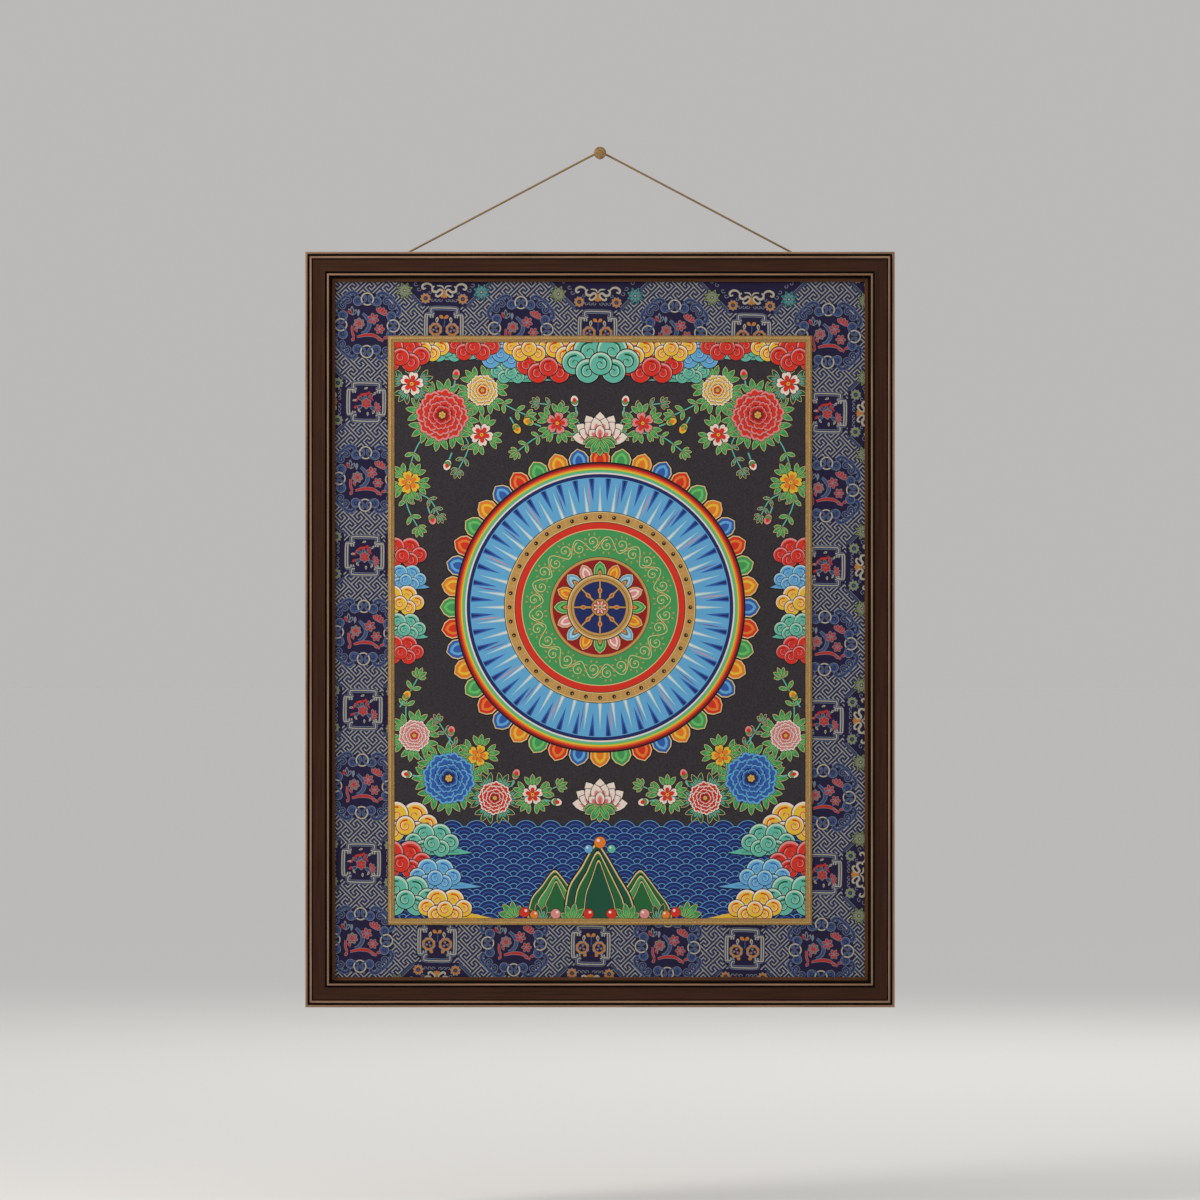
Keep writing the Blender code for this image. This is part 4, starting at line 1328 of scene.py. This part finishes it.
def frame_section():
    """The frame's section, from its outer edge inward: tone, distance and height in mm."""
    return toned([
        ("flat", [(0.0, 0.0), (0.0, 17.0)]),
        # The outer bead is all in the lighter crest tone: partly wear, partly a painted highlight.
        ("worn_and_highlit", bead(0.0, 2.9, 17.0, 18.6)[1:]),
        # The groove tone, near black, is painted shade in the grooves here and in the cove down to the
        # lip.
        ("painted_groove_shade", [(3.3, 15.2), (5.1, 15.2)]),
        *worn_highlit_bead(5.3, 8.3, 18.6, 20.6),
        ("painted_groove_shade", [(8.5, 16.8), (9.4, 16.8)]),
        ("flat", [(9.6, 19.2), (11.0, 19.15), (13.5, 18.95), (16.2, 18.9), (19.0, 18.95),
                  (21.6, 19.25), (22.8, 19.5), (23.4, 19.7), (24.0, 19.4)]),
        ("painted_groove_shade", [(24.3, 15.8), (26.0, 15.4)]),
        *worn_highlit_bead(26.1, 29.0, 16.6, 18.2),
        ("painted_groove_shade", [(29.3, 14.6), (32.4, LIP_TOP + 0.6)]),
        ("slip", [(33.0, LIP_TOP), (35.8, LIP_TOP), (36.2, LIP_TOP - 0.4), (36.2, RABBET_DEPTH)]),
        ("dark", [(30.0, RABBET_DEPTH), (30.0, 0.0)])])


def gilt_section():
    """A gilt strip's section: an outer bevel, a round ridge and a long inner slope."""
    return toned([
        ("gilt", [(0.0, 0.0), (0.0, 1.3), (0.5, 2.0), (2.2, 2.65)]),
        # The ridge's lighter gilt is a painted highlight along the crest.
        ("ridge", [(2.6, 2.9), (3.0, 3.0), (3.4, 3.0), (3.8, 2.9)]),
        ("gilt", [(4.2, 2.45), (4.7, 2.4), (7.2, 2.0), (7.8, 1.8), (8.0, 1.4), (8.0, 0.0)])])


def four_sides(half_width, half_height):
    """The sides of a frame: word, quarter turns from the top, half length and edge's distance."""
    return (("top", 0, half_width, half_height), ("left", 1, half_height, half_width),
            ("bottom", 2, half_width, half_height), ("right", 3, half_height, half_width))


def mitred(name, section, half_length, edge, side, level, middle, palette):
    """A mitred length of a section, with its outer edge at a distance from a frame's middle."""
    turn = Matrix.Rotation(-side * math.pi / 2, 3, "Y")
    rings = []
    for step in range(MITRE_CUTS + 1):
        ring = []
        for _, (across, height) in section:
            half = half_length - across * MM - MITRE_GAP
            spot = turn @ Vector((half * (2 * step / MITRE_CUTS - 1), 0.0, edge - across * MM))
            ring.append((spot.x, FRAME_BACK - level - height * MM, middle + spot.z))
        rings.append(ring)
    order = list(palette)
    slots = [order.index(tone) for tone, _ in section]
    slots = (slots[1:] + slots[:1]) * MITRE_CUTS + slots[:1] * 2
    return loft(name, rings, palette.values(), slots, 32)


def make_frame():
    section = frame_section()
    # The groove tone is painted shade: near black in the grooves and the cove.
    tones = {"flat": (58, 35, 24), "dark": (52, 32, 20), "painted_groove_shade": (15, 10, 6),
             # The lighter crest tone of the beads is partly rubbed wood and partly a painted highlight.
             "slip": (88, 55, 34), "worn_and_highlit": (146, 114, 92)}
    for word, side, half_length, edge in four_sides(FRAME_HALF_WIDTH, FRAME_HALF_HEIGHT):
        name = ("stile_" if side % 2 else "rail_") + word
        palette = {tone: wood(name + "_" + tone, "Z" if side % 2 else "X", display(*rgb),
                              0.34 if tone == "worn_and_highlit" else 0.42)
                   for tone, rgb in tones.items()}
        rail = mitred(name, section, half_length, edge, side, 0.0, FRAME_MIDDLE, palette)
        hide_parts("frame_" + name)


def make_gilt():
    palette = {"gilt": stippled_gilt("gilt_stipple", display(166, 130, 76)),
               # The ridge's lighter gilt is a painted highlight.
               "ridge": stippled_gilt("gilt_ridge_highlight", display(192, 156, 98))}
    reach = PIECE_GAP + STRIP_WIDTH
    for word, side, half_length, edge in four_sides(PAINTING_HALF_WIDTH + reach,
                                                    PAINTING_HALF_HEIGHT + reach):
        strip = mitred("gilt_" + word, gilt_section(), half_length, edge, side,
                       FRAME_BACK - STRIP_BACK, PAINTING_MIDDLE, palette)
        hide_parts("gilt_strip_" + word)


# ---------------------------------------------------------------- cord
CORD_DIAMETER = 2.5 * MM
CORD_BEND = 2 * CORD_DIAMETER
CORD_DEPTH = 6.2 * MM
CORD_EDGE_X = 233.6 * MM
CORD_BEHIND = 3.0 * MM
PEG_DROP = 4.1 * MM
ROPE_DIAMETER = CORD_DIAMETER * 1.08
ROPE_TURN = 9.0 * MM                 # length of one full turn of the strands
ROPE_SIDES = 15
ROPE_GROOVE = 0.2                    # depth between the strands, as a share of the radius
KNOT_LENGTH = 8.4                    # in mm, as the rest of the knot
LOOP_RADIUS = 2.9


def cord_slope():
    """The slope of the cord's straight runs, from the peg to the frame's top edge."""
    slope = 0.5
    for _ in range(20):
        slope = (CORD_BEND * (1 + slope ** 2) - PEG_DROP - FRAME_TOP) / CORD_EDGE_X
    return slope


SLOPE = cord_slope()
PULL = math.atan(SLOPE)
CORD_END_X = CORD_EDGE_X + CORD_BEHIND / SLOPE


def cord_point(x):
    """The cord's middle: a hyperbola that rides on the peg and runs straight to each side."""
    roundness = CORD_BEND * SLOPE ** 2
    z = CORD_BEND - PEG_DROP + roundness - math.hypot(roundness, SLOPE * x)
    return Vector((x, -CORD_DEPTH, z))


def even(path, step):
    """The same path with points at an even step along it."""
    made, left = [path[0]], step
    for a, b in zip(path, path[1:]):
        length = (b - a).length
        while length and left <= length:
            made.append(a.lerp(b, left / length))
            left += step
        left -= length
    return made + [path[-1]]


def rope(name, path, finish, step):
    """A twisted cord of three strands, as one tube whose section turns along the path."""
    points = even(path, step)
    normal = Vector((0.0, 1.0, 0.013))
    rings, travelled = [], 0.0
    for i, point in enumerate(points):
        along = (points[min(i + 1, len(points) - 1)] - points[max(i - 1, 0)]).normalized()
        normal = (normal - along * normal.dot(along)).normalized()
        across = along.cross(normal)
        travelled += (point - points[i - 1]).length if i else 0.0
        spin = math.tau * travelled / ROPE_TURN
        ring = []
        for k in range(ROPE_SIDES):
            angle = math.tau * k / ROPE_SIDES
            strand = abs(math.cos(1.5 * (angle - spin)))
            reach = ROPE_DIAMETER / 2 * (1 - ROPE_GROOVE * (1 - strand))
            ring.append(point + (normal * math.cos(angle) + across * math.sin(angle)) * reach)
        rings.append(ring)
    return loft(name, rings, [finish])


def knot_path(side):
    """The cord's end: down through the knot, round the ring's wire, back up, wound three times
    round itself, and a short free tail."""
    along = Vector((-side * math.cos(PULL), 0.0, math.sin(PULL)))
    out = Vector((0.0, 1.0, 0.0))
    across = along.cross(out) * -side
    start = cord_point(side * CORD_END_X)

    def point(down, depth, wide=0.0):
        return start - along * (down * MM) + out * (depth * MM) + across * (wide * MM)

    path = [point(0.3, 0.0), point(2.5, -0.3), point(5.5, -1.3), point(8.0, -2.4)]
    for i in range(9):
        angle = math.pi * i / 8
        path.append(point(KNOT_LENGTH + 1.8 + LOOP_RADIUS * math.sin(angle),
                          -LOOP_RADIUS * math.cos(angle)))
    wind, turns = 2.35, 3.0
    for i in range(37):
        t = i / 36
        angle = math.pi / 2 - math.tau * turns * t
        path.append(point(8.6 - 6.6 * t, wind * math.sin(angle), wind * math.cos(angle)))
    path += [point(1.2, 0.6, -3.6), point(2.2, 0.2, -6.2), point(4.4, 0.0, -8.6)]
    return smooth(path, 5)


def make_cord():
    finish = grained("cord_fibre", display(134, 108, 72), 0.8,
                     (display(116, 92, 60), display(152, 124, 86)), (0.9 * MM, 4.0),
                     (0.35 * MM, 3.0), (0.2 * MM, 0.7), (1.0, 1.0, 0.3), sheen_weight=0.2,
                     specular_ior_level=0.3)
    fine = [cord_point(CORD_END_X * (2 * i / 600 - 1)) for i in range(601)]
    cord = rope("cord", fine, finish, 0.9 * MM)
    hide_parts("hanging_cord")
    for word, side in (("left", -1), ("right", 1)):
        knot = rope("knot_" + word, knot_path(side), finish, 0.6 * MM)
        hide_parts("cord_knot_" + word)


# ---------------------------------------------------------------- knob, hangers and back
PLATE_RADIUS = 7.0 * MM
PLATE_FRONT = 2.0 * MM
PEG_RADIUS = CORD_BEND - CORD_DIAMETER / 2 - PIECE_GAP
PEG_SINK = 0.8 * MM                  # how far the peg runs into the plate and the head
HEAD_BACK = 10.4 * MM
DOME = 2.0 * MM
BEVEL = 0.6 * MM
TIP = 0.5 * MM                       # radius of the small flat that closes a turned end
FRONT_TIP = 0.3 * MM                 # and of the one on the head's front


def turned(name, profile, finish, steps=48):
    """A solid turned about the Y axis from (radius, distance in front of the wall)."""
    rings = [[(radius * math.cos(math.tau * k / steps), -depth,
               radius * math.sin(math.tau * k / steps)) for k in range(steps)]
             for radius, depth in profile]
    return loft(name, rings, [finish], sharp=40)


def make_knob():
    """The wall knob: plate, peg below the middle and domed head."""
    finish = grained("aged_brass", display(150, 118, 76), 0.6,
                     (display(124, 96, 60), display(170, 136, 92)), (2.4 * MM, 5.0),
                     (0.7 * MM, 3.0), (0.2 * MM, 0.5), metallic=0.25, specular_ior_level=0.2)
    low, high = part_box("wall_knob")
    head, rim = high.x, -low.y - DOME
    profile = [(TIP, HEAD_BACK), (head - BEVEL, HEAD_BACK), (head, HEAD_BACK + BEVEL),
               (head, rim - 0.2 * MM)]
    for i in range(1, 13):
        angle = math.radians(90 * i / 12)
        profile.append((max(head * math.cos(angle), FRONT_TIP), rim + DOME * math.sin(angle)))
    foot, top = PLATE_FRONT - PEG_SINK, HEAD_BACK + PEG_SINK
    plate = turned("knob_plate", [
        (TIP, 0.0), (PLATE_RADIUS, 0.0), (PLATE_RADIUS, PLATE_FRONT - BEVEL),
        (PLATE_RADIUS - BEVEL, PLATE_FRONT), (TIP, PLATE_FRONT)], finish)
    peg = turned("knob_peg", [(2 * TIP, foot), (PEG_RADIUS, foot), (PEG_RADIUS, top), (2 * TIP, top)],
                 finish)
    peg.data.transform(Matrix.Translation((0.0, 0.0, -PEG_DROP)))
    turned("knob_head", profile, finish)
    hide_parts("wall_knob")


def board_finish():
    return grained("hardboard", display(112, 84, 58), 0.8,
                   (display(104, 78, 53), display(120, 91, 64)), (5.0 * MM, 8.0),
                   (1.2 * MM, 5.0), (0.3 * MM, 0.6))


def steel_finish():
    """Zinc plate, brushed across."""
    return grained("zinc_plate", display(168, 166, 160), 0.4,
                   (display(140, 138, 132), display(186, 184, 178)), (3.0 * MM, 4.0),
                   (0.4 * MM, 3.0), (0.05 * MM, 0.5), (0.2, 1.0, 1.0), metallic=0.9)


def finish_cad():
    """The hangers and the board keep their solids and take a finish."""
    steel, board = steel_finish(), board_finish()
    for name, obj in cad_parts.items():
        if name.startswith("hanger_") or name == "backing_board":
            obj.data.materials.clear()
            obj.data.materials.append(board if name == "backing_board" else steel)


# ---------------------------------------------------------------- stage
FLOOR = FRAME_BOTTOM - 0.25
SKY_LOW = (0.492, 0.486, 0.474, 1.0)
SKY_HIGH = (0.64, 0.64, 0.64, 1.0)
LAMPS = (("key", (-1.8, -1.35, 0.8), (0.0, 0.0, -0.25), 0.8, 33.0, (1.0, 0.96, 0.9)),
         ("back", (0.8, 3.6, 1.6), (0.0, 0.6, -0.7), 3.0, 40.0, (1.0, 0.98, 0.95)))


def make_stage():
    bpy.ops.mesh.primitive_plane_add(size=120.0, location=(0.0, 0.0, FLOOR))
    floor = bpy.context.object
    floor.name = "floor"
    floor.data.materials.append(base("floor", (0.78, 0.77, 0.75, 1.0), 0.9)[0])
    world = bpy.data.worlds.new("world")
    world.use_nodes = True
    sky = world.node_tree
    coords = node(sky, "ShaderNodeTexCoord")
    height = node(sky, "ShaderNodeSeparateXYZ", [("Vector", coords.outputs["Generated"])])
    vary(sky, sky.nodes["Background"], height.outputs["Z"], SKY_LOW, SKY_HIGH, 0.12, 0.5, "Color")
    bpy.context.scene.world = world
    bpy.context.scene.view_settings.view_transform = "Standard"
    for name, place_at, aim, size, power, tone in LAMPS:
        data = bpy.data.lights.new(name, "AREA")
        data.shape = "DISK"
        data.size = size
        data.energy = power
        data.color = tone
        lamp = link(name, data)
        lamp.location = place_at
        lamp.rotation_euler = (Vector(aim) - Vector(place_at)).to_track_quat("-Z", "Y").to_euler()


make_cord()
make_brocade()
make_painting()
make_frame()
make_gilt()
make_knob()
finish_cad()
make_stage()
